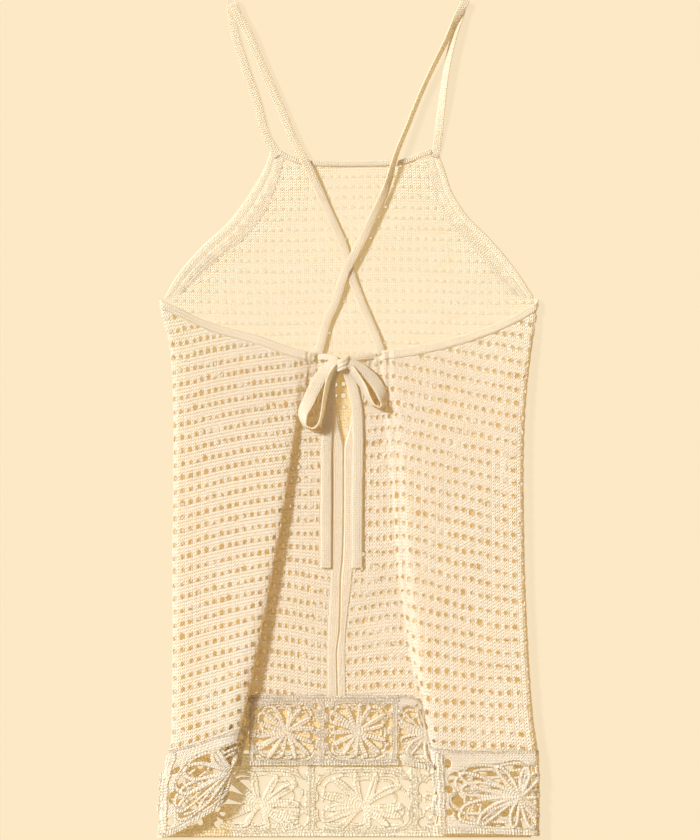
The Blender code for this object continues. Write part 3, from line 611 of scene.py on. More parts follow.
class Pile:
    """Grids gathered into one mesh."""

    def __init__(self):
        self.points, self.quads, self.uv, self.count = [], [], [], 0

    def grid(self, points, run, across, closed=False):
        """A grid of points, a row per distance along; closed joins its last column to the first."""
        n, m = points.shape[:2]
        i, j = np.meshgrid(np.arange(n - 1), np.arange(m if closed else m - 1), indexing="ij")
        k = (j + 1) % m
        quads = np.stack([i * m + j, i * m + k, (i + 1) * m + k, (i + 1) * m + j], -1)
        self.quads.append(quads.reshape(-1, 4) + self.count)
        self.points.append(points.reshape(-1, 3))
        self.uv.append(np.stack(np.meshgrid(across, run), -1).reshape(-1, 2))
        self.count += n * m
        return self

    def relief(self, lip, foot, uv, kept, walled):
        """The kept cells of a grid, with walls from lip to foot where walled cells face others."""
        n, m = lip.shape[:2]
        below = n * m
        a = np.arange(below).reshape(n, m)[:-1, :-1]
        quads = np.stack([a, a + m, a + m + 1, a + 1], -1)
        faces = [quads[kept]]
        padded = np.pad(walled, 1)
        for di, dj, e0, e1 in ((-1, 0, 0, 3), (1, 0, 2, 1), (0, -1, 1, 0), (0, 1, 3, 2)):
            q = quads[walled & ~padded[1 + di:n + di, 1 + dj:m + dj]]
            faces.append(np.stack([q[:, e0], q[:, e1], q[:, e1] + below, q[:, e0] + below], -1))
        self.quads.append(np.concatenate(faces) + self.count)
        for points in (lip, foot):
            self.points.append(points.reshape(-1, 3))
            self.uv.append(uv.reshape(-1, 2))
        self.count += 2 * below
        return self

    def make(self, name, mat):
        """The grids as one named mesh, in metres."""
        points, quads, uv = map(np.concatenate, (self.points, self.quads, self.uv))
        points = points + SHIFT
        points[:, 2] = np.maximum(points[:, 2], FLOOR_GAP)
        used, back = np.unique(quads, return_inverse=True)
        points, uv, quads = points[used] * 0.001, uv[used], back.reshape(quads.shape)
        mesh = bpy.data.meshes.new(name)
        mesh.vertices.add(len(points))
        mesh.vertices.foreach_set("co", points.astype(np.float32).ravel())
        mesh.loops.add(quads.size)
        mesh.loops.foreach_set("vertex_index", quads.astype(np.int32).ravel())
        mesh.polygons.add(len(quads))
        mesh.polygons.foreach_set("loop_start", np.arange(0, quads.size, 4, dtype=np.int32))
        mesh.polygons.foreach_set("use_smooth", np.ones(len(quads), bool))
        layer = mesh.uv_layers.new(name="UVMap")
        layer.data.foreach_set("uv", uv[quads.ravel()].astype(np.float32).ravel())
        mesh.update(calc_edges=True)
        mesh.validate()
        mesh.materials.append(mat)
        made = add(name, mesh)
        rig.ride(made, "root")
        return made


# ---- open net
# Lines of one cell of the net across and down, and which of them frame its hole. Bars stand
# on both sides of the hole and a dense row lies above it.
FINE = ([0, 0.28, 0.43, 0.57, 0.72], [0, 0.12, 0.24, 0.35, 0.52, 0.69, 0.80, 0.90], (1, 4), (3, 5))
FLAT = ([0, 0.34, 0.45, 0.55, 0.66], [0, 0.14, 0.28, 0.42, 0.51, 0.60, 0.74, 0.87], (1, 4), (3, 5))
COARSE = ([0, 0.24, 0.76], [0, 0.34, 0.70], (1, 2), (1, 2))
# Height over the cloth of the bars, the dense row, the groove above it and the holes' rims, and
# how uneven they are.
BAR_HIGH, ROW_HIGH, GROOVE_HIGH, RIM_HIGH, UNEVEN = 0.6, 0.42, 0.12, -0.12, 0.16
WOBBLE, GROWTH = 0.05, 0.16   # how far the holes stray from their places and sizes


def grid_lines(first, last, shares):
    """Lines at these shares of each cell: their places, their number in the cell, the cell's."""
    places = [cell + share for cell in range(first, last) for share in shares] + [last]
    number = np.arange(len(places))
    cells = np.minimum(number // len(shares), last - first - 1)
    return np.array(places, float), number % len(shares), cells


def net(pile, place, columns, rows, keep, grade=FINE, thick=1.0):
    """Cells of net over whole columns and rows; place(c, k) gives points and normals."""
    us, vs, (u0, u1), (v0, v1) = grade
    (c0, c1), (k0, k1) = columns, rows
    cu, ju, cell_u = grid_lines(c0, c1, us)
    kv, iv, cell_v = grid_lines(k0, k1, vs)
    C, K = np.meshgrid(cu, kv, indexing="ij")
    J, I = np.meshgrid(ju, iv, indexing="ij")
    size, cell = (c1 - c0, k1 - k0), np.ix_(cell_u, cell_v)
    grow = rng.normal(1.0, GROWTH, size)[cell]
    slip_u = rng.normal(0, WOBBLE, size)[cell]
    slip_v = rng.normal(0, WOBBLE * 0.7, size)[cell]
    in_u = (J >= u0) & (J <= u1)
    in_v = (I >= v0) & (I <= v1)
    rim = in_u & in_v
    corner = np.isin(J, (u0, u1)) & np.isin(I, (v0, v1))
    mid_u = (us[u0] + us[u1]) / 2
    mid_v = (vs[v0] + vs[v1]) / 2
    c, k = np.floor(C + 1e-9), np.floor(K + 1e-9)
    pull = np.where(corner, 0.80, 1.0) * grow   # rounds the holes
    C = np.where(rim, c + mid_u + (C - c - mid_u) * pull + slip_u, C)
    K = np.where(rim, k + mid_v + (K - k - mid_v) * pull + slip_v, K)
    lift = np.where(in_v, BAR_HIGH, ROW_HIGH)
    if grade is not COARSE:
        lift = np.where(I == 0, GROOVE_HIGH, lift)
    lift = np.where(rim, RIM_HIGH, lift) + rng.normal(0, UNEVEN, C.shape)
    P, N = place(C, K)
    lip = P + N * (thick * (lift[..., None] + 0.15))
    foot = P - N * (thick * 0.75)
    centre = place(np.floor(C + 1e-9) + mid_u, np.floor(K + 1e-9) + mid_v)[0]
    foot = foot + (foot - centre) * np.where(rim, 0.05, 0.0)[..., None]
    cells = np.array([[keep(c, k) for k in range(k0, k1)] for c in range(c0, c1)], bool)
    whole = cells[cell][:-1, :-1]
    hole = (rim & (J < u1) & (I < v1))[:-1, :-1]
    pile.relief(lip, foot, np.stack([C, K], -1), whole & ~hole, whole & hole)


NET_ROWS = (-4, 34)   # of the back; row 0 is a little below the casing at the side


def back_net(name, cloth, columns, base, pitch, rise):
    """One half of the back's net, its rows climbing from the side to the folds."""
    knots = cloth.knots[RISE_AT]

    def height(k, f):
        """Height of net row k at features f."""
        rows = curve(rise, k)
        at = np.interp(f, CORNERS, cloth.knots)
        i = np.clip(np.searchsorted(knots, at) - 1, 0, len(knots) - 2)
        h = np.diff(knots)
        d = np.diff(rows, axis=-1) / h
        m = slopes(h[:, None] * np.ones((len(h), d[..., 0].size)), d.reshape(-1, len(h)).T)
        m = m.T.reshape(*d.shape[:-1], len(knots))
        u = (at - knots[i]) / h[i]
        v0, v1, m0, m1 = (taken(table, knot) for table in (rows, m) for knot in (i, i + 1))
        return base - pitch * k + blend(v0, v1, m0, m1, h[i], u)

    def solve(c, k):
        """Feature and height of a column and row, by turns until they agree."""
        c, k = np.broadcast_arrays(np.asarray(c, float), np.asarray(k, float))
        share = c / columns
        share = share + 0.15 * share * (1 - share)   # columns are widest at the side
        y = base - pitch * k + 15
        for _ in range(4):
            f = cloth.feature(share, y)
            y = height(k, f)
        return f, y

    def place(c, k):
        f, y = solve(c, k)
        top, low = cloth.edge(cloth.top, f), cloth.edge(cloth.lace, f)
        over = y - (low - 3)
        # the last rows close up under the lace, and the first end in the casing
        over = np.where(over > 4, over, 4 * np.exp(np.minimum(over, 4) / 4 - 1))
        p, n = cloth.at(f, np.minimum(low - 3 + over, top + 4.5))
        sink = np.clip((y - top + 2) / 4, 0, 1) + 1.6 * np.clip((low + 2.6 - y) / 2.2, 0, 1)
        return p - n * sink[..., None], n

    def keep(c, k):
        f, y = solve(c + 0.5, k + 0.5)
        f, y = float(f), float(y)
        return cloth.edge(cloth.lace, f) - 8 < y < cloth.edge(cloth.top, f) + 10

    pile = Pile()
    net(pile, place, (0, columns), NET_ROWS, keep)
    return pile.make(name, net_yarn)


net_left = back_net("back_net_left_yarn", left_cloth, 26, 94.5, 13.3, RISE_LEFT)
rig.replaces(net_left, "back_net_left")
net_right = back_net("back_net_right_yarn", right_cloth, 24, 90.5, 13.26, RISE_RIGHT)
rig.replaces(net_right, "back_net_right")


# ---- front
def seam(cloth, y):
    """Where the front meets the back at height y."""
    edge, roll = curve(cloth.table, y)[..., :2].T
    return cloth.side * (edge - roll)


def ring_inside(x, y, ring):
    """Whether a point lies inside a closed outline."""
    hit = False
    for (x0, y0), (x1, y1) in zip(ring, ring[1:] + ring[:1]):
        if (y0 > y) != (y1 > y) and x < (x1 - x0) * (y - y0) / (y1 - y0) + x0:
            hit = not hit
    return hit


side_rows = np.arange(116, -338, -6.0)
front_ring = [((a + c) / 2 + 3, (b + d) / 2) for a, b, c, d in ARMHOLE_LEFT]
front_ring += [(float(seam(left_cloth, y)) + 1, y) for y in side_rows]
front_ring += [(float(seam(right_cloth, y)) - 1, y) for y in side_rows[::-1]]
front_ring += [((a + c) / 2 - 3, (b + d) / 2) for a, b, c, d in ARMHOLE_RIGHT[::-1]]
front_ring += [(x, y - 1) for x, y in NECK[::-1]]
FRONT_COLUMNS, COLUMN = 48, 8.05   # of net, and their width
row_y = [258.0]                    # heights of the net's rows, closer together at the top
while row_y[-1] > -342:
    step = float(np.interp(row_y[-1], [-40, 60], [12.6, 10.4]))
    row_y.append(row_y[-1] - step)
row_y = np.array(row_y)


def front_place(c, k):
    y = np.interp(k, range(len(row_y)), row_y)
    x = (c - FRONT_COLUMNS / 2) * COLUMN + 1.2 * np.sin(k * 0.7 + c * 0.35)
    y = y + 1.1 * np.sin(x * 0.028 + 0.6) * np.clip((y + 60) / 120, 0, 1)
    p = np.stack([x, y, np.full_like(x, FRONT_Z)], -1)
    return p, np.broadcast_to(UP, p.shape)


def in_front(c, k):
    """Whether the middle of a cell lies inside the front's outline."""
    p, _ = front_place(np.array(c + 0.5), np.array(k + 0.5))
    return ring_inside(p[0], p[1], front_ring)


pile, first = Pile(), 0
# height a grade reaches down to, the grade and its thickness; coarse where the front is hidden
for down_to, grade, thick in ((62, FLAT, 0.45), (-8, FINE, 0.8), (-400, COARSE, 1.0)):
    last = min(np.searchsorted(-row_y, -down_to), len(row_y) - 1)
    net(pile, front_place, (0, FRONT_COLUMNS), (first, last), in_front, grade, thick)
    first = last
front_net = pile.make("front_net_yarn", front_yarn_painted_shade)
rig.replaces(front_net, "front_panel")


# ---- bands
lengths, routes = {}, {}   # of the pieces made so far, in mm and in metres


def stitches(run, across):
    """Relief of V stitches at distances along and across a knitted strip, mm."""
    leg = 2 * np.abs((across / WALE) % 1 - 0.5)
    slant = np.sin(2 * math.pi * (run / ROW + 0.9 * leg))
    return 0.24 * slant * np.sin(math.pi * np.clip(leg, 0.08, 0.92)) - 0.12 * (leg > 0.85)


def band(name, near, far, normals, profile, mat):
    """A band between two lines; profile gives (share across, height) from near to far."""
    near, far = np.asarray(near, float), np.asarray(far, float)
    normals = np.broadcast_to(normals, near.shape)
    run = running(near)
    width = float(np.mean(np.linalg.norm(far - near, axis=1)))
    spots = np.linspace(0, len(profile) - 1, len(profile) + int(width / 0.9))
    v, h = np.array([np.interp(spots, range(len(profile)), c) for c in zip(*profile)])
    points = near[:, None] * (1 - v)[None, :, None] + far[:, None] * v[None, :, None]
    raised = h + stitches(run[:, None], v * width) * np.clip(2 * h - 1, 0, 1)
    points = points + normals[:, None] * raised[..., None]
    lengths[name] = float(run[-1])
    return Pile().grid(points, run, v * width).make(name, mat)


# share of the way across a band, height
ARM = [
    (0, 0), (0.01, 0.6), (0.05, 1.2), (0.12, 1.65), (0.2, 1.75), (0.29, 1.6), (0.36, 1.25),
    (0.39, 1.0), (0.43, 1.25), (0.5, 1.5), (0.6, 1.55), (0.7, 1.5), (0.8, 1.5), (0.9, 1.5),
    (0.95, 1.4), (0.985, 1.15), (1.02, 0.7),
]
for name, rows in (("left", ARMHOLE_LEFT), ("right", ARMHOLE_RIGHT)):
    rows = np.array(rows, float)
    run = running(rows[:, :2])
    fine = curve(np.column_stack([run, rows]), np.linspace(0, run[-1], 240))
    flat = np.zeros(len(fine))
    outer, inner = np.column_stack([fine[:, :2], flat]), np.column_stack([fine[:, 2:], flat])
    if name == "left":
        outer, inner = outer[::-1], inner[::-1]
    made = band(f"front_armhole_{name}_knit", outer, inner, UP, ARM, band_yarn)
    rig.replaces(made, f"front_armhole_band_{name}")

CASING = [
    (0, -1.2), (-0.02, -0.2), (0.03, 0.8), (0.12, 1.35), (0.25, 1.6), (0.4, 1.5), (0.55, 1.3),
    (0.64, 1.15), (0.72, 1.5), (0.82, 1.7), (0.92, 1.3), (0.98, 0.4), (1.0, -0.5), (0.97, -1.2),
]
for name, cloth, last in (("left", left_cloth, 13.2), ("right", right_cloth, 11.0)):
    f = np.linspace(1.0, last, 220)
    top = cloth.edge(cloth.top, f)
    low, n0 = cloth.at(f, top - 1.0)
    high, n1 = cloth.at(f, top + CASING_WIDE)
    made = band(f"back_casing_{name}_knit", low, high, (n0 + n1) / 2, CASING, band_yarn)
    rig.replaces(made, f"back_casing_{name}")

PLACKET_FORM = [
    (0, -1.1), (-0.03, 0.0), (0.03, 0.8), (0.12, 1.2), (0.25, 1.25), (0.4, 1.2), (0.5, 1.15),
    (0.6, 1.2), (0.75, 1.25), (0.88, 1.2), (0.96, 0.8), (1.0, 0.0), (0.98, -1.1),
]
for name, cloth, column in (("left", left_cloth, 0), ("right", right_cloth, 1)):
    y = np.linspace(57, -277.2, 420)
    net_x = cloth.side * (curve(cloth.table, y)[:, 6] + 0.3)
    slit_x = curve(PLACKET, y)[:, column]
    flat = np.full_like(y, LOW_Z)
    made = band(
        f"placket_{name}_knit", np.column_stack([net_x, y, flat]),
        np.column_stack([slit_x, y, flat]), UP, PLACKET_FORM, band_yarn,
    )
    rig.replaces(made, f"placket_{name}")


# ---- tapes
TAPE_SIDES, TAPE_STEP, TAPE_THICK, TAPE_WIDE = 26, 0.85, 2.1, 10.8


def tape(name, rows, wide, thick, mat):
    """A flat knitted tape along a table of centres and rolls, and of plan angles if it has them."""
    keys = np.asarray(rows, float)
    run = running(keys[:, :3])
    at = np.concatenate(
        [np.linspace(a, b, max(3, int((b - a) / TAPE_STEP)) + 1)[:-1] for a, b in zip(run, run[1:])]
        + [run[-1:]]
    )
    c = curve(np.column_stack([run, keys]), at)
    along = unit(np.gradient(c[:, :3], axis=0))
    *plan, roll = np.radians(c[:, 3:]).T
    level = (np.cos(plan[0]), np.sin(plan[0])) if plan else (along[:, 1], -along[:, 0])
    across = np.column_stack([*level, 0 * roll])
    across = unit(across - along * np.sum(across * along, axis=1, keepdims=True))
    up = np.cross(across, along)
    turned = across * np.cos(roll)[:, None] + up * np.sin(roll)[:, None]
    face = np.cross(turned, along)
    shape = []
    for t in np.linspace(0, 2 * math.pi, TAPE_SIDES, endpoint=False):
        ct, st = math.cos(t), math.sin(t)
        u, v = math.copysign(abs(ct) ** 0.7, ct), math.copysign(abs(st) ** 0.6, st)
        shape.append((u * wide / 2, v * thick / 2))
    shape = np.array(shape)
    knit = stitches(at[:, None], shape[:, 0] + 0.5 * WALE) * np.clip(2 * shape[:, 1] / thick, -1, 1)
    body = (
        c[:, None, :3] + turned[:, None] * shape[None, :, :1]
        + face[:, None] * (shape[:, 1] + knit)[..., None]
    )
    tips = np.repeat(c[[0, -1]][:, None, :3], TAPE_SIDES, 1)
    body = np.concatenate([tips[:1], body, tips[1:]])
    lengths[name] = float(run[-1])
    routes[name] = (c[:, :3] + SHIFT) * 0.001
    at = np.concatenate([at[:1], at, at[-1:]])
    return Pile().grid(body, at, shape[:, 0], closed=True).make(name, mat)


tapes = {}
for name, rows, wide in (
    ("strap_left", STRAP_LEFT, 8.6), ("strap_right", STRAP_RIGHT, 8.6),
    ("tie_lead_left", LEAD_LEFT, 6.4), ("tie_lead_right", LEAD_RIGHT, 6.4),
    ("bow_loop_left", LOOP_LEFT, 12.6), ("bow_loop_right", LOOP_RIGHT, 12.0),
    ("tie_tail_left", TAIL_LEFT, TAPE_WIDE), ("tie_tail_right", TAIL_RIGHT, TAPE_WIDE),
):
    tapes[name] = tape(name + "_tape", rows, wide, TAPE_THICK, tape_yarn)
    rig.replaces(tapes[name], name)
binding = tape("front_neck_binding_knit", [(x, y, 1.5, 0) for x, y in NECK], 5.4, 3.0, band_yarn)
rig.replaces(binding, "front_neck_binding")

# Knot: three wraps of tape round the middle of the bow, each a height, a lean and a width.
KNOT_X, KNOT_Z, KNOT_REACH, KNOT_HIGH = -5.8, 11.2, 5.5, 4.2
pile = Pile()
turn = np.linspace(0, 2 * math.pi, 33)
for y0, lean, wide in ((58.8, 0.55, 4.6), (54.4, 0.62, 5.0), (50.6, 0.5, 3.6)):
    ring = np.column_stack([
        KNOT_X + KNOT_REACH * np.cos(turn), y0 + lean * 4 * np.cos(turn),
        KNOT_Z + KNOT_HIGH * np.sin(turn),
    ])
    across = np.linspace(-1, 1, 9)
    puff = np.sqrt(1 - across ** 2 * 0.92)
    out = np.column_stack([np.cos(turn), 0 * turn, np.sin(turn)])
    points = (
        ring[:, None] + np.array([0.12, 1, 0])[None, None] * (across * wide / 2)[None, :, None]
        + out[:, None] * (puff * 1.5 - 0.7)[None, :, None]
    )
    pile.grid(points, turn * 6, across * wide / 2)
knot = pile.make("bow_knot_tape", tape_yarn)
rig.replaces(knot, "bow_knot")


# ---- flower squares
class Lace:
    """Crochet lace as a relief over a grid: cloth near a cord, and holes where none lies."""

    FAR = 2.5      # how far from a cord its edge is still read
    COLUMN = 3.4   # width of a plain stitch

    def __init__(self, x0, x1, y0, y1, step):
        self.step = step
        self.xs, self.ys = np.arange(x0, x1 + step / 2, step), np.arange(y0, y1 + step / 2, step)
        self.x, self.y = np.meshgrid(self.xs, self.ys, indexing="ij")
        self.clear = np.full(self.x.shape, -self.FAR)   # how far inside a cord's edge
        self.high = np.full(self.x.shape, -0.2)
        self.uv = np.zeros((*self.x.shape, 2))
        self.outside = np.full(self.x.shape, 9.0)       # how far outside the flowers' frames

    def ground(self):
        """Plain stitches wherever there is no flower."""
        column = np.abs((self.x / self.COLUMN) % 1 - 0.5)
        row = np.sin(2 * math.pi * (self.y / STITCH + 1.3 * column))
        high = 0.8 + 0.25 * row + 0.5 * (0.5 - column)
        plain = (self.outside > 0) & (high > self.high)
        self.high[plain] = high[plain]
        self.uv[plain] = np.stack([self.x / self.COLUMN, self.y], -1)[plain]
        self.clear = np.maximum(self.clear, np.minimum(self.outside, self.FAR))

    def cord(self, xs, ys, radius, lift=0.0):
        """A chain-stitched cord along a smooth path, fused with what it touches."""
        keys = np.column_stack([xs, ys]).astype(float)
        run = running(keys)
        at = np.linspace(0, run[-1], int(run[-1] / 0.8) + 4)
        path = curve(np.column_stack([run, keys]), at)
        wide = radius + self.FAR
        i0, i1 = np.searchsorted(self.xs, [path[:, 0].min() - wide, path[:, 0].max() + wide])
        j0, j1 = np.searchsorted(self.ys, [path[:, 1].min() - wide, path[:, 1].max() + wide])
        if i0 == i1 or j0 == j1:
            return
        box = np.s_[i0:i1, j0:j1]
        dx = self.x[box][..., None] - path[:, 0]
        dy = self.y[box][..., None] - path[:, 1]
        away = dx * dx + dy * dy
        near = away.argmin(-1)
        away = np.sqrt(away.min(-1))
        tangent = np.gradient(path, axis=0)[near]
        turned = tangent[..., 0] * taken(dy, near) - tangent[..., 1] * taken(dx, near)
        share = away / radius
        dome = np.sqrt(np.clip(1 - share ** 2, 0, 1))
        phase = (at[near] + rng.uniform(0, STITCH)) / STITCH + 0.4 * share
        high = lift + radius * dome * (0.75 + 0.25 * np.sin(2 * math.pi * phase))
        above = (high > self.high[box]) & (away < radius)
        self.high[box][above] = high[above]
        across = 0.5 + 0.5 * np.sign(turned) * share
        self.uv[box][above] = np.stack([across, at[near]], -1)[above]
        self.clear[box] = np.maximum(self.clear[box], radius - away)

    def eyelet(self, x, y, across, up, lean=0.0):
        """An oval hole."""
        ca, sa = math.cos(lean), math.sin(lean)
        dx, dy = self.x - x, self.y - y
        far = np.hypot((dx * ca + dy * sa) / across, (dy * ca - dx * sa) / up) - 1
        self.clear = np.minimum(self.clear, far * min(across, up))

    def make(self, name, on, thick=1.0, sunk=0.0, mat=cord_yarn):
        """The lace as a mesh; its upper edge is sunk by this much, under what it hangs from."""
        down, side = np.gradient(self.clear, self.step)
        steep = np.hypot(down, side) + 0.15
        kept = of_four(self.clear) > 0
        around = of_four(np.pad(kept, 1).astype(int))
        rim = (around > 0) & (around < 4)
        pull = np.where(rim, np.clip(self.clear / steep, -0.6 * self.step, 0.6 * self.step), 0)
        lip, n = on(self.x - pull * down / steep, self.y - pull * side / steep)
        high = np.where(rim, np.minimum(self.high, 0.25), self.high)
        high = high + np.where(rim, 0.05, 0.15) * rng.normal(0, 1, high.shape)
        high = high - sunk * np.clip(1 - (self.ys[-1] - self.y) / 4, 0, 1)
        foot = lip - n * thick
        lip = lip + n * high[..., None]
        return Pile().relief(lip, foot, self.uv, kept, kept).make(name, mat)


def flower(lace, x, y, left, right, up, down, petals, thick, plump, high=1.0, frames=(0.0, 1.5)):
    """One crochet square: petals of looped cord, scallops between them and a rounded frame."""

    def spot(angle, r, more=0.0):
        """Point at an angle and a share of the reach that way."""
        ca, sa = np.cos(angle), np.sin(angle)
        return (
            x + (np.where(ca > 0, right, left) + more) * ca * r,
            y + (np.where(sa > 0, up, down) + more) * sa * r,
        )

    def square(angle):
        """Share of the reach at which a square with round corners lies."""
        ca, sa = np.abs(np.cos(angle)), np.abs(np.sin(angle))
        return 1 / (ca ** 4 + sa ** 4) ** 0.25

    tips = []
    start = rng.uniform(0, 0.3)
    # shares of a petal's length, and its half width there
    s = np.array([0.02, 0.16, 0.36, 0.58, 0.78, 0.92, 1.0])
    w = np.array([0.12, 0.40, 0.75, 1.0, 1.0, 0.7, 0.1])
    for k in range(petals):
        a = start + 2 * math.pi * (k + rng.uniform(-0.2, 0.2)) / petals
        tx, ty = spot(a, rng.uniform(0.80, 0.93) * float(square(a)))
        tx, ty = float(tx) - x, float(ty) - y
        size = math.hypot(tx, ty)
        half = plump * min(max(size / 34, 0.8), 1.6) * rng.uniform(0.8, 1.15)
        bend = rng.uniform(-1, 1) * 0.06 * size * np.sin(s * math.pi)
        rise = high * rng.uniform(0.4, 1.0)

        def limb(side, radius, lift):
            lace.cord(x + s * tx - side * ty / size, y + s * ty + side * tx / size, radius, lift)

        for hand in (-1, 1):
            limb(hand * w * half + bend, thick, rise + 0.3 * hand * high)
        if half > 0.85 * thick and (frames or k % 3 == 0):
            limb(bend, 0.8 * thick, rise - 0.5)
        tips.append(a)
    tips.append(tips[0] + 2 * math.pi)
    for a0, a1 in zip(tips, tips[1:]):
        t = np.linspace(0, 1, 5)
        a = a0 + (a1 - a0) * t
        r = square(a) * (0.82 + rng.uniform(0.06, 0.13) * np.sin(math.pi * t))
        lace.cord(*spot(a, r), 0.9 * thick)
        if rng.uniform() < 0.6:
            lace.cord(*spot(a, r - rng.uniform(0.1, 0.22)), 0.8 * thick)
        if not frames:
            lace.cord(*spot(a, rng.uniform(0.42, 0.6) + 0.08 * np.sin(math.pi * t)), 0.75 * thick)
    turn = np.linspace(0, 2 * math.pi, 73)
    for more in frames:
        lace.cord(*spot(turn, square(turn), more * thick), thick, 0.3 * high)
    dx, dy = lace.x - x, lace.y - y
    across, tall = np.where(dx > 0, right, left), np.where(dy > 0, up, down)
    far = ((np.abs(dx) / across) ** 4 + (np.abs(dy) / tall) ** 4) ** 0.25 - 1
    far = far * min(left + right, up + down) / 2
    if not frames:
        angle = np.arctan2(dy / tall, dx / across)
        far = far + 3 + 1.6 * np.sin(angle * 7 + 1) + 1.2 * np.sin(angle * 11)
    lace.outside = np.minimum(lace.outside, far)


def joint(lace, x, y0, y1, apart, radius, hole, count):
    """The seam of two squares: two cords side by side, with round eyelets on both sides."""
    ys = np.linspace(y0, y1, 24)
    for side in (-1, 1):
        lace.cord(x + side * 0.8 * radius + 0.5 * np.sin(ys * 0.45), ys, radius, 0.2 * side)
    for k in range(count):
        for side in (-1, 1):
            y = y0 + (y1 - y0) * (k + 0.5 + 0.12 * side) / count + rng.normal(0, 1.0)
            size = hole * rng.uniform(0.75, 1.25)
            lace.eyelet(x + side * apart, y, size, size * rng.uniform(1, 1.5), rng.normal(0, 0.5))


def level_at(z):
    """A level place for lace."""

    def on(px, py):
        p = np.stack([px, py, np.full_like(px, z)], -1)
        return p, np.broadcast_to(UP, p.shape)
    return on


def hem_lace(field, step, flowers, look, rows, joints, seam_look, lift=0.1):
    """Lace over a field (x0, x1, y0, y1): squares, plain stitches, rows right across, seams."""
    x0, x1, *_ = field
    lace = Lace(*field, step)
    for spec in flowers:
        flower(lace, *spec, **look)
    lace.ground()
    for y, radius in rows:
        lace.cord((x0, (x0 + x1) / 2, x1), (y, y, y), radius, lift)
    for x in joints:
        joint(lace, x, **seam_look)
    return lace


# front hem
xl, xr = float(seam(left_cloth, -390)) + 1, float(seam(right_cloth, -390)) - 1
lace = hem_lace(
    (xl, xr, -418.6, -335), 0.9, FRONT_FLOWERS, dict(petals=12, thick=1.8, plump=2.2, high=0.6),
    ((-337.5, 2.4), (-341.5, 1.9), (-412.5, 2.0), (-416.0, 2.3)), (-140.5, -37.5, 65.5, 168.5),
    dict(y0=-341, y1=-412, apart=8.5, radius=1.8, hole=3.6, count=4),
)
front_lace = lace.make("front_hem_lace", level_at(FRONT_Z), 0.8, mat=front_cord_yarn_painted_shade)
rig.replaces(front_lace, "front_hem_squares")
lengths["front_hem_lace"] = xr - xl

# back hem over each lobe
for name, cloth, last, flowers, joint_x in (
    ("left", left_cloth, LACE_SPLIT[0], LEFT_FLOWERS, 16),
    ("right", right_cloth, LACE_SPLIT[1], RIGHT_FLOWERS, 110),
):
    reach = float(np.interp(last, CORNERS, cloth.hem_run))
    lace = hem_lace(
        (0, reach, -HEM_DEEP, 2.4), 0.75, flowers, dict(petals=11, thick=2.0, plump=3.9, frames=()),
        ((0.6, 1.6), (-75.6, 2.2), (-78.6, 2.2)), [joint_x],
        dict(y0=-4, y1=-76, apart=8.0, radius=2.4, hole=3.0, count=3), lift=0.0,
    )
    made = lace.make(f"back_hem_{name}_lace", lambda px, py: cloth.on_hem(px, -py), sunk=0.4)
    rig.replaces(made, f"back_hem_squares_{name}")
    lengths[f"back_hem_{name}_lace"] = reach

# back hem, level part
xl, xr = (
    float(cloth.at(last, -310)[0][0])
    for cloth, last in ((left_cloth, LACE_SPLIT[0]), (right_cloth, LACE_SPLIT[1]))
)
lace = hem_lace(
    (xl, xr, -347, -276), 0.75, CENTRE_FLOWERS, dict(petals=14, thick=1.45, plump=1.4),
    ((-277.6, 1.7), (-280.8, 1.8), (-342.4, 1.8), (-345.2, 1.9)), (-98, -27, 46),
    dict(y0=-283, y1=-342, apart=5.8, radius=1.7, hole=3.0, count=4),
)
centre_lace = lace.make("back_hem_centre_lace", level_at(LOW_Z + 0.2), sunk=0.4)
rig.replaces(centre_lace, "back_hem_squares_centre")
lengths["back_hem_centre_lace"] = CENTRE_LACE_LONG

# ---- what each piece was cut from
# Piece, width it was made at in mm, how it lies and what it lies on; SIDE is left, then right.
FRONT = "front_net_yarn"
CUTS = [
    ("front_armhole_SIDE_knit", 26, "folded", FRONT),
    ("front_neck_binding_knit", 10, "folded", FRONT),
    ("back_casing_SIDE_knit", 17, "folded", FRONT),
    ("placket_SIDE_knit", 14, "laid", FRONT),
    ("strap_SIDE_tape", 10, "laid", FRONT),
    ("tie_lead_SIDE_tape", 10, "laid", "back_casing_SIDE_knit"),
    ("bow_loop_right_tape", 11, "folded", "back_net_right_yarn"),
    ("front_hem_lace", 82, "laid", "floor"),
    ("back_hem_left_lace", 85, "folded", "front_hem_lace"),
    ("back_hem_right_lace", 83, "folded", "front_hem_lace"),
    ("back_hem_centre_lace", 68, "laid", FRONT),
]
SLOTS = {   # of each material
    "net_yarn": "crochet_net", "front_yarn_painted_shade": "crochet_net", "band_yarn": "knit_band",
    "tape_yarn": "knit_tape", "cord_yarn": "flower_lace", "front_cord_yarn_painted_shade": "flower_lace",
}
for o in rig.pieces():
    worn = o.data.materials[0].name if o.data.materials else ""
    if worn in SLOTS:
        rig.slot(o, SLOTS[worn])


def mm(*sizes):
    return tuple(v * 0.001 for v in sizes)


def net_cut(cloth):
    """Width and length of a back net laid flat, and its area, in metres."""
    run = np.interp(cloth.fs, CORNERS, cloth.knots)
    tall = cloth.top - cloth.lace
    area = float(np.sum((tall[1:] + tall[:-1]) / 2 * np.diff(run)))
    return mm(float(run[-1]), float(tall.max())), area * 1e-6


def ring_area(ring):
    return abs(sum(a[0] * b[1] - b[0] * a[1] for a, b in zip(ring, ring[1:] + ring[:1]))) / 2


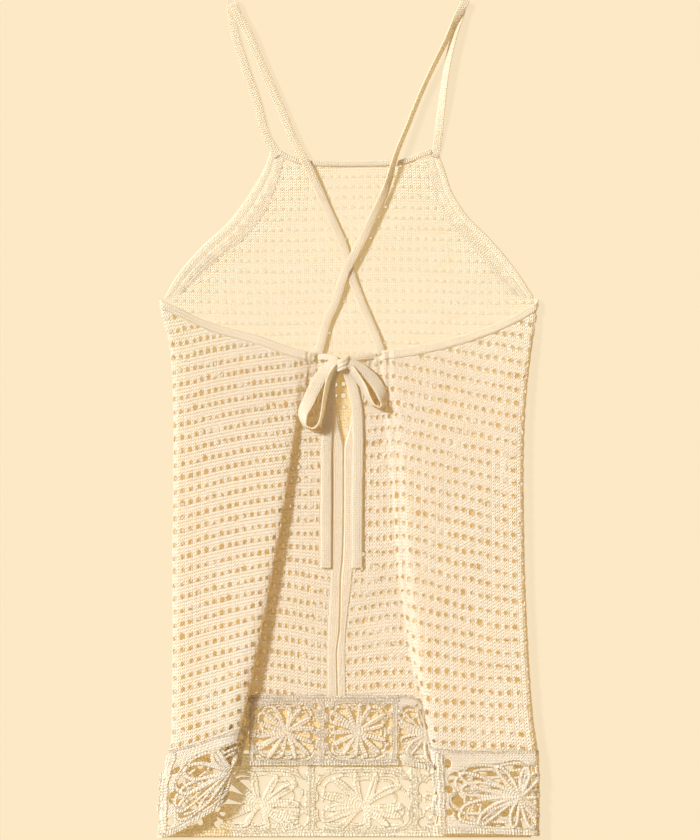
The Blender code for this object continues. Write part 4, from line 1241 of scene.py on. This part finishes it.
for piece, cloth in ((net_left, left_cloth), (net_right, right_cloth)):
    size, area = net_cut(cloth)
    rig.sheet(piece, size, "folded", ["front_net_yarn"], area)
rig.sheet(front_net, mm(378, 606), "laid", ["floor"], ring_area(front_ring) * 1e-6)
for piece, wide, held, on in CUTS:
    for side in ("left", "right") if "SIDE" in piece else ("",):
        name = piece.replace("SIDE", side)
        on_piece = on.replace("SIDE", side)
        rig.sheet(bpy.data.objects[name], mm(wide, lengths[name]), held, [on_piece])
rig.sheet(
    tapes["bow_loop_left"], mm(TAPE_WIDE, lengths["bow_loop_left_tape"]), "folded",
    ["back_net_left_yarn"], with_pieces=[knot],
)
for name in ("tie_tail_left", "tie_tail_right"):
    route = [tuple(p) for p in routes[name + "_tape"]]
    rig.cord(
        tapes[name], route[0], lengths[name + "_tape"] * 0.001, TAPE_WIDE * 0.001, "bare",
        stiffness="limp", lay="loose", path=route,
    )

# ---- floor, light and camera
GROUND_LIT, GROUND_SIZE = 0.9, 20   # share of the ground's own light, half its side in metres
CAMERA_HIGH, PICTURE_HIGH, SENSOR = 4.0, 0.84, 36   # metres, and mm

floor_mat, tree, shader = material("paper")
fill(tree, shader, {
    "Base Color": (0.68, 0.56, 0.385, 1), "Roughness": 0.95, "Specular IOR Level": 0.0,
})
show(tree, GROUND_LIT, shader, node(tree, "Emission", {0: (0.965, 0.799, 0.552, 1)}))
mesh = bpy.data.meshes.new("floor")
corners = [(i * GROUND_SIZE, j * GROUND_SIZE, 0) for i, j in ((-1, -1), (1, -1), (1, 1), (-1, 1))]
mesh.from_pydata(corners, [], [(0, 1, 2, 3)])
mesh.materials.append(floor_mat)
floor = add("floor", mesh)
floor.location.z = -0.0003   # clear of the dress's underside
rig.stage(floor)

sun = bpy.data.lights.new("key", "SUN")
sun.energy = 6.2
sun.angle = math.radians(9)
sun.color = (0.845, 0.925, 1.0)
lamp = add("key", sun)
lamp.rotation_euler = Vector((0.80, -0.40, -0.72)).to_track_quat("-Z", "Y").to_euler()
world = bpy.data.worlds.new("studio")
world.use_nodes = True
sky = world.node_tree
fill(sky, sky.nodes["Background"], {0: (1.0, 0.82, 0.58, 1), 1: 0.62})
bpy.context.scene.world = world

camera_data = bpy.data.cameras.new("camera")
camera_data.sensor_width = SENSOR
camera_data.lens = SENSOR * CAMERA_HIGH / PICTURE_HIGH
camera_data.clip_end = 50
camera = add("camera", camera_data)
camera.location = ((1 + SHIFT[0]) * 0.001, (-1 + SHIFT[1]) * 0.001, CAMERA_HIGH + 0.004)
bpy.context.scene.camera = camera
bpy.context.scene.view_settings.view_transform = "Standard"

with open("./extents.json", "w") as out:
    json.dump({"cad": [list(map(float, p)) for p in box_at_load],
               "visual": [list(map(float, p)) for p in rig.bounds()]}, out)
